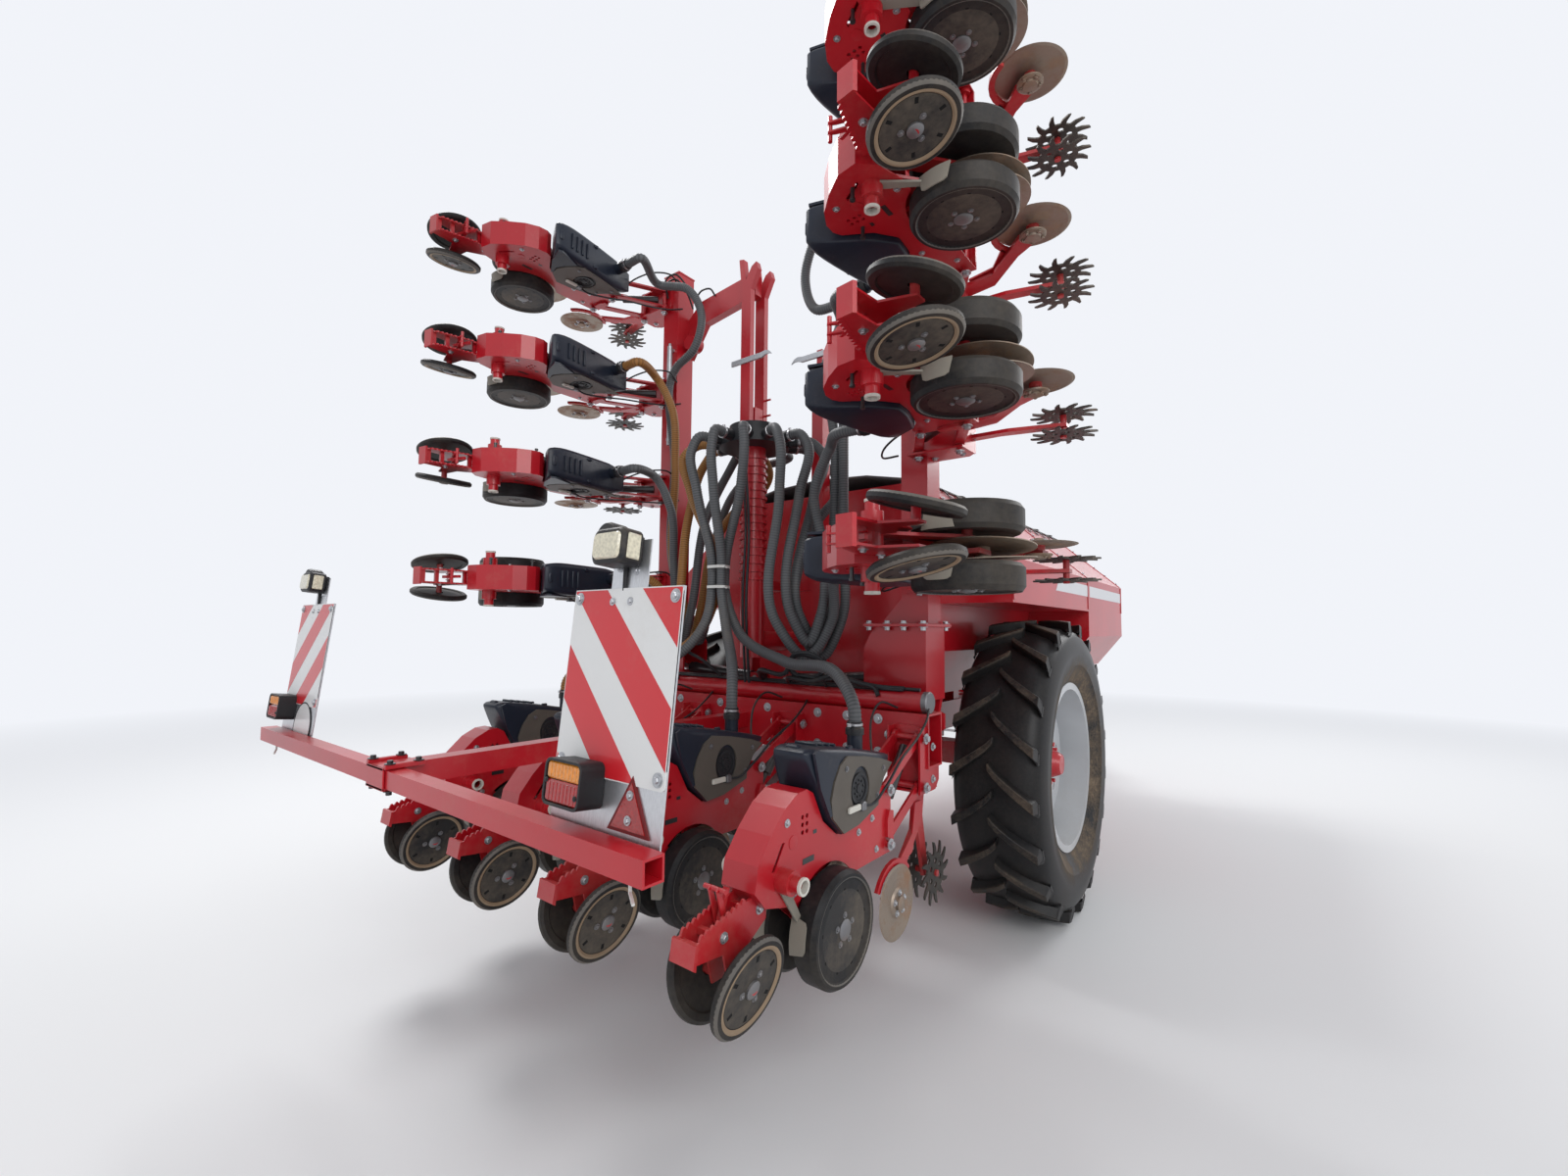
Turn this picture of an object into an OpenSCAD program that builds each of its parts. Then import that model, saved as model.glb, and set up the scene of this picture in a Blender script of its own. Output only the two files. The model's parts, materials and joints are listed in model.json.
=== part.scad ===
// Folded twelve-row single-seed drill on a two-wheel transport chassis
// Frame: +Y is the direction of travel, +X the machine's right, +Z up, all sizes in mm

/* [Rows] */
// Distance from one seed row to the next
row_pitch = 700; // [450:10:800]
// Number of rows fixed on the centre toolbar
centre_rows = 4; // [2:2:4]
// Number of rows on each wing
wing_rows = 4; // [1:1:4]
// Height of the row datum over the ground, toolbar raised
row_z = 1305; // [1100:5:1500]
// Place of the centre rows' datum along the machine
row_y = -2340; // [-2500:10:-2200]
// Place of the wing rows' datum along the machine
wing_row_y = -2095; // [-2150:5:-2050]

/* [Wings] */
// Hinge axis from the machine's middle
hinge_x = 980; // [940:5:1040]
// Hinge axis over the ground
hinge_z = 1285; // [1260:5:1320]
// How far the wings are folded up, in degrees
fold_deg = 90; // [0:1:90]
// Side of the square wing beam
wing_tube = 150; // [120:5:180]
// Diameter of the hinge pin
hinge_pin_d = 50; // [30:1:60]
// Diameter of the eye round the hinge pin
hinge_eye_d = 92; // [80:1:110]
// Thickness of the hinge lugs
hinge_lug_t = 22; // [12:1:30]

/* [Toolbar] */
// Depth of the centre toolbar along the machine
bar_depth = 150; // [100:5:180]
// Height of the centre toolbar
bar_height = 250; // [150:5:300]
// Half length of the centre toolbar
bar_half = 1145; // [1130:5:1200]
// Diameter of the round pipe on the toolbar
pipe_d = 100; // [60:5:110]
// Gap from the row datum to the rear face of a toolbar
bar_gap = 30; // [20:1:60]

/* [Wheels] */
// Tyre diameter over the lugs
tyre_d = 1840; // [1600:10:1900]
// Tyre width
tyre_w = 520; // [400:10:540]
// Rim diameter at its flange
rim_d = 1040; // [900:10:1100]
// Half of the track
half_track = 1190; // [1150:5:1250]
// Place of the axle along the machine
axle_y = -750; // [-900:10:-600]
// Height of a tyre lug
lug_h = 52; // [30:1:60]
// Lugs on each side of a tyre
lug_count = 20; // [12:1:24]

/* [Hopper] */
// Rear end of the hopper
hopper_y0 = -1550; // [-1600:10:-1400]
// Front end of the hopper
hopper_y1 = 1590; // [1200:10:1800]
// Half width of the hopper at its eaves
hopper_half = 1300; // [1100:10:1320]
// Height of the eaves
eave_z = 2180; // [2100:10:2300]
// Half width of the filling opening
mouth_half = 740; // [500:10:900]
// Height of the filling opening's rim
mouth_z = 2680; // [2500:10:2800]
// Thickness of the hopper's walls
hopper_wall = 8; // [4:1:20]

/* [Drawbar] */
// Front face of the towing eye
front_y = 4200; // [4000:10:4600]
// Bore of the towing eye
eye_bore = 50; // [40:1:60]
// Height of the towing eye
eye_z = 620; // [450:10:700]

/* [Rear boards] */
// Rearmost face, at the tail lamps
rear_y = -4200; // [-4400:10:-4000]
// Side of the striped warning board
board_w = 423; // [300:1:450]
// Outer edge of the warning boards
board_out = 1350; // [1200:10:1400]
// Forward lean of the boards in degrees
board_lean = 6; // [0:1:10]

/* [Hidden] */
$fn = 48;
steel_grey = "#8d9094";
machine_red = "#b1121f";
dark = "#26282b";
// Shared clearances
run_gap = 0.05;
side_gap = 6;

// Rows: derived places
centre_x0 = -row_pitch * (centre_rows - 1) / 2;
wing_x0 = centre_x0 + row_pitch * centre_rows;
wing_beam_y = wing_row_y + bar_gap + wing_tube / 2;
bar_y = row_y + bar_gap + bar_depth / 2;
bar_top = row_z + 66;
bar_bottom = bar_top - bar_height;

// Row unit: y forward, z up, from the row datum
link_dy = -330;
link_dz = -170;
link_up_z = -40;
link_low_z = -262;
bracket_w = 80;
bracket_t = 10;
bracket_low = -292;
bracket_fr = 165;
body_w = 72;
body_wall = 6;
meter_w = 98;
gauge_y = -775;
gauge_z = -600;
gauge_r = 200;
gauge_in = 54;
gauge_t = 100;
close_y = -1230;
close_z = -620;
close_r = 155;
close_t = 32;
close_w = 92;
close_tilt = 14;
opener_y = -650;
opener_z = -610;
opener_r = 195;
coulter_y = -240;
coulter_z = -700;
coulter_r = 155;
coulter_w = 62;
star_y = 190;
star_z = -705;
star_r = 148;
pivot_y = -1050;
pivot_z = -365;

// Thin bar along the row's width
module cross(y, z, r, w0, w1, n = 32)
  translate([w0, y, z]) rotate([0, 90, 0]) cylinder(r = r, h = w1 - w0, $fn = n);

// Plate cut from a side profile, standing from w0 to w1 across the row
module side_plate(pts, w0, w1)
  translate([w0, 0, 0]) rotate([90, 0, 90]) linear_extrude(height = w1 - w0) polygon(pts);

// Link between two pins of a row unit, with a boss at each end
module link(y0, z0, y1, z1, w0, w1, h) {
  len = sqrt((y1 - y0) * (y1 - y0) + (z1 - z0) * (z1 - z0));
  translate([w0, y0, z0])
    rotate([atan2(z1 - z0, y1 - y0), 0, 0])
      translate([0, 0, -h / 2])
        cube([w1 - w0, len, h]);
  cross(y0, z0, h / 2 + 6, w0 - 2, w1 + 2);
  cross(y1, z1, h / 2 + 6, w0 - 2, w1 + 2);
}

// Profile of the row unit's body, rear to the left
body_profile = [
  [-296, -470], [-296, -196], [-372, -186], [-452, -246], [-612, -292], [-716, -300],
  [-806, -232], [-868, -120], [-905, -100], [-960, -104], [-1030, -140], [-1105, -212],
  [-1168, -292], [-1182, -372], [-1130, -432], [-1010, -466], [-560, -470]
];

// Inside of that body, open below
body_inside = [
  [-308, -500], [-308, -210], [-368, -200], [-447, -259], [-609, -306], [-720, -314],
  [-815, -242], [-877, -130], [-908, -114], [-956, -117], [-1022, -150], [-1095, -221],
  [-1155, -298], [-1168, -368], [-1124, -420], [-1100, -500]
];

// Profile of the seed meter's housing
meter_profile = [
  [-300, -72], [-405, -132], [-446, -236], [-452, -246], [-612, -292], [-716, -300], [-796, -226],
  [-860, -112], [-920, 20], [-880, 40], [-640, 6]
];

// Bracket, links, body and closing arm of one row
module row_frame(under) {
  cheek = [[-36, 8], [bar_gap, 8], [bar_gap, -under], [bracket_fr, -under],
    [bracket_fr, bracket_low + 40], [bracket_fr - 40, bracket_low], [-36, bracket_low]];
  for (s = [-1, 1])
    side_plate(cheek, s * bracket_w - bracket_t / 2, s * bracket_w + bracket_t / 2);
  translate([-bracket_w, bar_gap - 12, bracket_low + 4])
    cube([2 * bracket_w, 12, 300]);
  translate([-bracket_w, bar_gap - 12, bracket_low + 4])
    cube([2 * bracket_w, bracket_fr - bar_gap, 10]);
  for (s = [-1, 1]) {
    link(0, link_up_z, link_dy, link_up_z + link_dz, s * 58 - 6, s * 58 + 6, 46);
    link(0, link_low_z, link_dy, link_low_z + link_dz, s * 58 - 6, s * 58 + 6, 46);
  }
  for (z = [link_up_z, link_low_z]) {
    cross(0, z, 14, -bracket_w - 14, bracket_w + 14);
    cross(link_dy, z + link_dz, 14, -bracket_w - 6, bracket_w + 6);
  }
  row_body();
  closing_arm();
  coulter_arm();
}

// Hollow body with the arch over the gauge wheels
module row_body() {
  difference() {
    side_plate(body_profile, -body_w, body_w);
    side_plate(body_inside, -body_w + body_wall, body_w - body_wall);
    cross(gauge_y, gauge_z, gauge_r + 14, body_w - 40, body_w + 2, 64);
    cross(gauge_y, gauge_z, gauge_r + 14, -body_w - 2, -body_w + 40, 64);
    for (a = [0, 1, 2])
      for (b = [0, 1])
        cross(-905 - 26 * b, -190 - 26 * a, 8, -body_w - 2, body_w + 2, 16);
    side_plate([[-1030, -250], [-1046, -250], [-1100, -330], [-1084, -330]], -body_w - 2, body_w + 2);
  }
  // Shank between the opener discs
  side_plate([[-590, -380], [-590, -294], [-716, -306], [-760, -276], [-760, -640], [-640, -640]], -9, 9);
  // Pivot tube of the gauge arms
  difference() {
    union() {
      cross(pivot_y, pivot_z, 40, -body_w - 52, body_w + 52);
      cross(pivot_y, pivot_z, 27, -body_w - 92, body_w + 92);
    }
    cross(pivot_y, pivot_z, 21, -body_w - 93, body_w + 93);
  }
  for (s = [-1, 1]) {
    side_plate([[pivot_y - 20, pivot_z - 30], [pivot_y + 26, pivot_z + 28],
      [gauge_y + 22, gauge_z + 30], [gauge_y + 18, gauge_z - 26], [gauge_y - 26, gauge_z - 22]],
      s > 0 ? 40 : -52, s > 0 ? 52 : -40);
    cross(gauge_y, gauge_z, 20, s > 0 ? 40 : -gauge_in - gauge_t + 8, s > 0 ? gauge_in + gauge_t - 8 : -40);
  }
}

// Open channel that carries the two closing wheels
module closing_arm() {
  for (s = [-1, 1]) {
    side_plate([[-1090, -400], [-1160, -392], [-1408, -452], [-1416, -506], [-1290, -520],
      [close_y - 26, close_z - 22], [close_y + 26, close_z - 22], [close_y + 40, -540], [-1090, -480]],
      s > 0 ? 34 : -42, s > 0 ? 42 : -34);
    cross(close_y, close_z, 16, s > 0 ? 42 : -close_w - 24, s > 0 ? close_w + 24 : -42);
  }
  for (y = [-1180, -1262, -1330, -1400])
    translate([-42, y, -478 + (y + 1400) * 0.18])
      cube([84, 20, 20]);
  translate([-8, -1282, -470])
    rotate([-18, 0, 0])
      cube([16, 14, 130]);
}

// Arms that carry the fertiliser disc and the row cleaners
module coulter_arm() {
  side_plate([[-10, bracket_low + 30], [90, bracket_low + 30], [60, -430], [-120, -600],
    [coulter_y + 34, coulter_z - 30], [coulter_y - 24, coulter_z - 24], [coulter_y - 10, -640], [-40, -450]],
    coulter_w - 34, coulter_w - 16);
  cross(coulter_y, coulter_z, 26, coulter_w - 16, coulter_w + 22);
  translate([-bracket_w, -8, bracket_low])
    cube([2 * bracket_w, 60, 12]);
  side_plate([[90, bracket_low + 20], [150, bracket_low + 20], [150, -420], [star_y + 26, star_z - 20],
    [star_y - 24, star_z - 20], [96, -470]], -14, 4);
  cross(star_y, star_z, 15, -64, 64);
}

// Seed meter housing with its round side opening and its cover
module row_meter() {
  difference() {
    side_plate(meter_profile, -meter_w, meter_w);
    cross(-600, -150, 62, meter_w - 30, meter_w + 2, 40);
    translate([-meter_w - 2, -900, -400]) cube([26, 700, 290]);
  }
  cross(-600, -150, 40, meter_w - 30, meter_w - 6, 32);
  translate([meter_w - 24, -700, -226]) cube([28, 90, 26]);
  translate([-30, -420, -70]) cylinder(d = 66, h = 90);
}

// Two gauge wheels with their dished faces
module row_gauge() {
  for (s = [-1, 1])
    translate([s * (gauge_in + gauge_t / 2), gauge_y, gauge_z])
      rotate([0, s * 90, 0])
        rotate_extrude($fn = 64)
          polygon([[21, -30], [150, -gauge_t / 2 + 4], [186, -gauge_t / 2], [gauge_r, -gauge_t / 2 + 16],
            [gauge_r, gauge_t / 2 - 18], [188, gauge_t / 2], [176, gauge_t / 2], [168, gauge_t / 2 - 7],
            [40, gauge_t / 2 - 14], [21, gauge_t / 2 - 14]]);
}

// Two closing wheels that lean apart at the top
module row_closing() {
  for (s = [-1, 1])
    translate([s * close_w, close_y, close_z])
      rotate([0, s * close_tilt, 0])
        rotate([0, s * 90, 0])
          rotate_extrude($fn = 56)
            polygon([[22, -close_t / 2 + 6], [118, -close_t / 2 + 6], [124, -close_t / 2],
              [close_r - 10, -close_t / 2], [close_r, -close_t / 2 + 9],
              [close_r, close_t / 2 - 9], [close_r - 10, close_t / 2], [126, close_t / 2], [118, close_t / 2 - 7], [22, close_t / 2 - 7]]);
}

// Opener discs, fertiliser disc and scrapers
module row_discs() {
  for (s = [-1, 1])
    translate([s * 24, opener_y, opener_z])
      rotate([0, 0, s * 4])
        rotate([0, 90, 0])
          difference() {
            cylinder(r = opener_r, h = 4, center = true, $fn = 64);
            cylinder(r = 30, h = 10, center = true);
          }
  cross(opener_y, opener_z, 29, -30, -9);
  cross(opener_y, opener_z, 29, 9, 30);
  translate([coulter_w + 9, coulter_y, coulter_z])
    rotate([0, 90, 0])
      rotate_extrude($fn = 56)
        polygon([[26.2, -3], [coulter_r - 12, -3], [coulter_r, 0], [coulter_r - 12, 3],
          [64, 3], [56, 12], [26.2, 12]]);
}

// Pair of finger wheels that clear the row
finger_n = 12;
module star_wheel() {
  difference() {
    linear_extrude(height = 8, center = true)
      union() {
        circle(r = 92, $fn = 36);
        for (k = [0 : finger_n - 1])
          rotate([0, 0, k * 360 / finger_n])
            polygon([[84, -15], [116, -9], [star_r - 4, 8], [star_r, 22], [112, 14], [84, 14]]);
      }
    cylinder(r = 15.2, h = 20, center = true);
    for (k = [0 : 5])
      rotate([0, 0, k * 60])
        translate([56, 0, 0])
          cylinder(r = 13, h = 20, center = true, $fn = 16);
  }
}

module row_cleaner() {
  for (s = [-1, 1])
    translate([s * 50, star_y, star_z])
      rotate([0, 90, 0])
        star_wheel();
}

// Places of the rows on the chassis and on the two wings
module at_centre_rows()
  for (i = [0 : centre_rows - 1])
    translate([centre_x0 + i * row_pitch, row_y, row_z])
      children();

// Fold a wing about its hinge, side +1 right and -1 left
module folded(side)
  translate([side * hinge_x, 0, hinge_z])
    rotate([0, -side * fold_deg, 0])
      translate([-side * hinge_x, 0, -hinge_z])
        children();

module at_wing_rows(side)
  folded(side)
    for (i = [0 : wing_rows - 1])
      translate([side * (wing_x0 + i * row_pitch), wing_row_y, row_z])
        children();

under_centre = row_z - bar_bottom;
under_wing = wing_tube / 2;

module centre_row_frames() color(machine_red) at_centre_rows() row_frame(under_centre);
module centre_row_meters() color(dark) at_centre_rows() row_meter();
module centre_gauge_wheels() color(dark) at_centre_rows() row_gauge();
module centre_closing_wheels() color(dark) at_centre_rows() row_closing();
module centre_row_discs() color(steel_grey) at_centre_rows() row_discs();
module centre_row_cleaners() color(dark) at_centre_rows() row_cleaner();
module right_row_frames() color(machine_red) at_wing_rows(1) row_frame(under_wing);
module right_row_meters() color(dark) at_wing_rows(1) row_meter();
module right_gauge_wheels() color(dark) at_wing_rows(1) row_gauge();
module right_closing_wheels() color(dark) at_wing_rows(1) row_closing();
module right_row_discs() color(steel_grey) at_wing_rows(1) row_discs();
module right_row_cleaners() color(dark) at_wing_rows(1) row_cleaner();
module left_row_frames() color(machine_red) at_wing_rows(-1) row_frame(under_wing);
module left_row_meters() color(dark) at_wing_rows(-1) row_meter();
module left_gauge_wheels() color(dark) at_wing_rows(-1) row_gauge();
module left_closing_wheels() color(dark) at_wing_rows(-1) row_closing();
module left_row_discs() color(steel_grey) at_wing_rows(-1) row_discs();
module left_row_cleaners() color(dark) at_wing_rows(-1) row_cleaner();

// Wing hinge: pin along the machine, lugs on a carrier in front of the toolbar, eyes on the wing
bar_front = bar_y + bar_depth / 2;
pin_y0 = bar_front + 2;
pin_y1 = wing_beam_y + 115;
carrier_x0 = 700;
carrier_x1 = 862;
lug_out_x = hinge_x + 62;
lug_tab = [[carrier_x1, bar_bottom + 20], [carrier_x1 + 30, bar_bottom + 20], [lug_out_x, hinge_z - 40],
  [lug_out_x, hinge_z + 40], [lug_out_x - 30, hinge_z + 52], [carrier_x1, bar_top]];
rear_lug_y = bar_front;
front_lug_y = pin_y1 - 4 - hinge_lug_t;

module toolbar_centre() color(machine_red) {
  difference() {
    translate([-bar_half, bar_y - bar_depth / 2, bar_bottom])
      cube([2 * bar_half, bar_depth, bar_height]);
    translate([-bar_half - 1, bar_y - bar_depth / 2 + 10, bar_bottom + 10])
      cube([2 * bar_half + 2, bar_depth - 20, bar_height - 20]);
  }
  // Round pipe along the top rear edge
  translate([-bar_half + 20, bar_y - bar_depth / 2 + pipe_d / 2 + 2, bar_top + pipe_d / 2 - 2])
    rotate([0, 90, 0])
      difference() {
        cylinder(d = pipe_d, h = 2 * bar_half - 40);
        translate([0, 0, -1]) cylinder(d = pipe_d - 12, h = 2 * bar_half - 38);
      }
  for (s = [-1, 1])
    mirror([s < 0 ? 1 : 0, 0, 0]) {
      difference() {
        translate([carrier_x0, bar_front, bar_bottom])
          cube([carrier_x1 - carrier_x0, front_lug_y + hinge_lug_t - bar_front, bar_height]);
        translate([carrier_x0 - 1, bar_front + 10, bar_bottom + 10])
          cube([carrier_x1 - carrier_x0 - 12, front_lug_y + hinge_lug_t - bar_front - 20, bar_height - 20]);
      }
      for (y = [rear_lug_y, front_lug_y])
        translate([0, y + hinge_lug_t, 0])
          rotate([90, 0, 0])
            linear_extrude(height = hinge_lug_t)
              difference() {
                polygon(lug_tab);
                translate([hinge_x, hinge_z]) circle(d = hinge_pin_d + 2 * run_gap);
              }
    }
}

// Saddle under the masts, with the lugs of the fold cylinders
module mast_base() color(machine_red) {
  translate([-saddle_half, saddle_y0, bar_top])
    cube([2 * saddle_half, saddle_y1 - saddle_y0, 18]);
  for (s = [-1, 1])
    for (y = [-cyl_lug_gap / 2 - 14, cyl_lug_gap / 2])
      translate([s * cyl_a_x, cyl_y + y + 14, bar_top + 18])
        rotate([90, 0, 0])
          linear_extrude(height = 14)
            difference() {
              polygon([[-60, 0], [60, 0], [34, cyl_a_z - bar_top + 16], [-34, cyl_a_z - bar_top + 16]]);
              translate([0, cyl_a_z - bar_top - 18]) circle(d = cyl_pin_d + 2 * run_gap);
            }
  // Gussets that carry the saddle in front of the toolbar
  for (x = [-mast_x, 0, mast_x])
    translate([x - 8, 0, 0])
      rotate([90, 0, 90])
        linear_extrude(height = 16)
          polygon([[bar_front, bar_bottom + 30], [saddle_y1, bar_top - 40],
            [saddle_y1, bar_top], [bar_front, bar_top]]);
}

// Fold cylinders
cyl_y = (bar_front + hinge_lug_t + pin_y1 - 4 - hinge_lug_t) / 2;
cyl_a_x = 120;
cyl_a_z = 1462;
cyl_b_x = 860;
cyl_b_z = 1512;
cyl_pin_d = 36;
cyl_lug_gap = 70;
cyl_barrel_d = 76;
cyl_rod_d = 45;
cyl_len = sqrt((cyl_b_x - cyl_a_x) * (cyl_b_x - cyl_a_x) + (cyl_b_z - cyl_a_z) * (cyl_b_z - cyl_a_z));
cyl_ang = atan2(cyl_b_z - cyl_a_z, cyl_b_x - cyl_a_x);
cyl_barrel_len = 600;
cyl_neck = 64;
cyl_rod_x0 = cyl_neck + 24;
saddle_half = 420;
saddle_y0 = bar_y - bar_depth / 2 + pipe_d + 5;
saddle_y1 = -1880;

// Put a piece on the cylinder's line, rod end along +X
module on_cylinder(side)
  mirror([side < 0 ? 1 : 0, 0, 0])
    translate([cyl_a_x, cyl_y, cyl_a_z])
      rotate([0, -cyl_ang, 0])
        children();

module fold_barrel(side) color(dark) on_cylinder(side) {
  difference() {
    union() {
      rotate([90, 0, 0]) cylinder(d = 76, h = cyl_lug_gap - 12, center = true);
      translate([10, -cyl_lug_gap / 2 + 8, -28]) cube([cyl_neck, cyl_lug_gap - 16, 56]);
      translate([cyl_neck, 0, 0]) rotate([0, 90, 0]) cylinder(d = cyl_barrel_d, h = cyl_barrel_len - cyl_neck);
    }
    rotate([90, 0, 0]) cylinder(d = cyl_pin_d + 2 * run_gap, h = 200, center = true);
    translate([cyl_neck + 16, 0, 0]) rotate([0, 90, 0]) cylinder(d = 60, h = cyl_barrel_len - cyl_neck - 46);
    translate([cyl_neck + 14, 0, 0]) rotate([0, 90, 0]) cylinder(d = cyl_rod_d + 2 * run_gap, h = cyl_barrel_len);
  }
}

module fold_rod(side) color(steel_grey) on_cylinder(side)
  difference() {
    union() {
      translate([cyl_rod_x0, 0, 0]) rotate([0, 90, 0]) cylinder(d = cyl_rod_d, h = cyl_len - cyl_rod_x0 - 20);
      translate([cyl_len, 0, 0]) rotate([90, 0, 0]) cylinder(d = 76, h = cyl_lug_gap - 12, center = true);
    }
    translate([cyl_len, 0, 0]) rotate([90, 0, 0]) cylinder(d = 12, h = 200, center = true);
  }

module fold_barrel_right() fold_barrel(1);
module fold_barrel_left() fold_barrel(-1);
module fold_rod_right() fold_rod(1);
module fold_rod_left() fold_rod(-1);

// Pins of the hinges and of the cylinders' fixed ends
module hinge_pins() color(steel_grey)
  for (s = [-1, 1]) {
    translate([s * hinge_x, pin_y1 + 6, hinge_z])
      rotate([90, 0, 0])
        cylinder(d = hinge_pin_d, h = pin_y1 - pin_y0 + 6);
    translate([s * hinge_x, pin_y1 + 8, hinge_z])
      rotate([90, 0, 0])
        cylinder(d = hinge_pin_d + 26, h = 8);
    translate([s * cyl_a_x, cyl_y + cyl_lug_gap / 2 + 20, cyl_a_z])
      rotate([90, 0, 0])
        cylinder(d = cyl_pin_d, h = cyl_lug_gap + 40);
  }

// Wing: hinge eyes, flared hinge box, bolted flange and square beam, drawn folded out to the right
box_x0 = hinge_x + 125;
box_x1 = hinge_x + 495;
beam_x1 = wing_x0 + row_pitch * (wing_rows - 1) + 180;
box_y0 = rear_lug_y + hinge_lug_t + side_gap;
box_y1 = front_lug_y - side_gap;
box_lo = row_z - 92;
box_hi = hinge_z + 285;
eye_t = 30;

module wing_beam_out() {
  // Eyes on the hinge pin
  for (y = [box_y0, box_y1 - eye_t])
    translate([0, y + eye_t, 0])
      rotate([90, 0, 0])
        difference() {
          union() {
            linear_extrude(height = eye_t)
              polygon([[hinge_x + 20, hinge_z + 45], [box_x0 + 10, box_hi - 135], [box_x0 + 10, box_lo + 10],
                [hinge_x + 20, hinge_z - 42]]);
            translate([hinge_x, hinge_z, 0]) cylinder(d = hinge_eye_d, h = eye_t);
          }
          translate([hinge_x, hinge_z, -1]) cylinder(d = hinge_pin_d + 2 * run_gap, h = eye_t + 2);
        }
  // Two side cheeks and the outer wall of the hinge box
  for (y = [box_y0, box_y1 - 14])
    translate([0, y + 14, 0])
      rotate([90, 0, 0])
        linear_extrude(height = 14)
          polygon([[box_x0, box_lo], [box_x1, box_lo], [box_x1, box_hi - 60], [box_x1 - 110, box_hi],
            [box_x0 + 60, box_hi], [box_x0, box_hi - 60]]);
  translate([box_x0, box_y0, box_lo])
    cube([box_x1 - box_x0, box_y1 - box_y0, 16]);
  // Flange and its plate
  translate([box_x1, box_y0 - 10, box_lo - 10])
    cube([20, box_y1 - box_y0 + 20, box_hi - box_lo - 30]);
  // Square beam
  difference() {
    translate([box_x1 + 20, wing_beam_y - wing_tube / 2, row_z - wing_tube / 2])
      cube([beam_x1 - box_x1 - 20, wing_tube, wing_tube]);
    translate([box_x1 + 32, wing_beam_y - wing_tube / 2 + 10, row_z - wing_tube / 2 + 10])
      cube([beam_x1 - box_x1, wing_tube - 20, wing_tube - 20]);
  }
  translate([beam_x1, wing_beam_y - wing_tube / 2 - 4, row_z - wing_tube / 2 - 4])
    cube([10, wing_tube + 8, wing_tube + 8]);
  // Gusset from the flange to the beam
  for (y = [wing_beam_y - wing_tube / 2, wing_beam_y + wing_tube / 2 - 12])
    translate([0, y + 12, 0])
      rotate([90, 0, 0])
        linear_extrude(height = 12)
          polygon([[box_x1 + 20, row_z + wing_tube / 2], [box_x1 + 20, box_hi - 70],
            [box_x1 + 150, row_z + wing_tube / 2]]);
  // Lugs of the fold cylinder's rod, with the pin's heads outside them
  rod_x = hinge_x + cyl_b_z - hinge_z;
  rod_z = hinge_z - cyl_b_x + hinge_x;
  for (y = [cyl_y - cyl_lug_gap / 2 - 16, cyl_y + cyl_lug_gap / 2])
    translate([0, y + 16, 0])
      rotate([90, 0, 0])
        linear_extrude(height = 16)
          polygon([[rod_x - 50, box_lo + 16], [rod_x + 70, box_lo + 16], [rod_x + 32, rod_z + 32],
            [rod_x - 32, rod_z + 32]]);
  for (y = [cyl_y - cyl_lug_gap / 2 - 16, cyl_y + cyl_lug_gap / 2 + 28])
    translate([rod_x, y, rod_z])
      rotate([90, 0, 0])
        cylinder(d = cyl_pin_d + 14, h = 12);
}

module wing_right() color(machine_red) folded(1) wing_beam_out();
module wing_left() color(machine_red) folded(-1) {
  mirror([1, 0, 0]) wing_beam_out();
  wing_arm_left();
}

// Arm of the left wing that rests in the mast's fork, drawn folded out
arm_x = hinge_x + 4060 - hinge_z;
arm_z0 = row_z + wing_tube / 2;
arm_reach = 640;
module wing_arm_left()
  mirror([1, 0, 0]) {
    translate([0, mast_y + 30, 0])
      rotate([90, 0, 0])
        linear_extrude(height = 60)
          polygon([[arm_x - 330, arm_z0], [arm_x - 40, arm_z0], [arm_x + 60, arm_z0 + 120],
            [arm_x + 110, arm_z0 + arm_reach], [arm_x - 50, arm_z0 + arm_reach], [arm_x - 110, arm_z0 + 160]]);
    translate([arm_x - 260, wing_beam_y - 50, arm_z0 + 90])
      rotate([-90, 0, 0])
        cylinder(d = 100, h = 100);
  }

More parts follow.
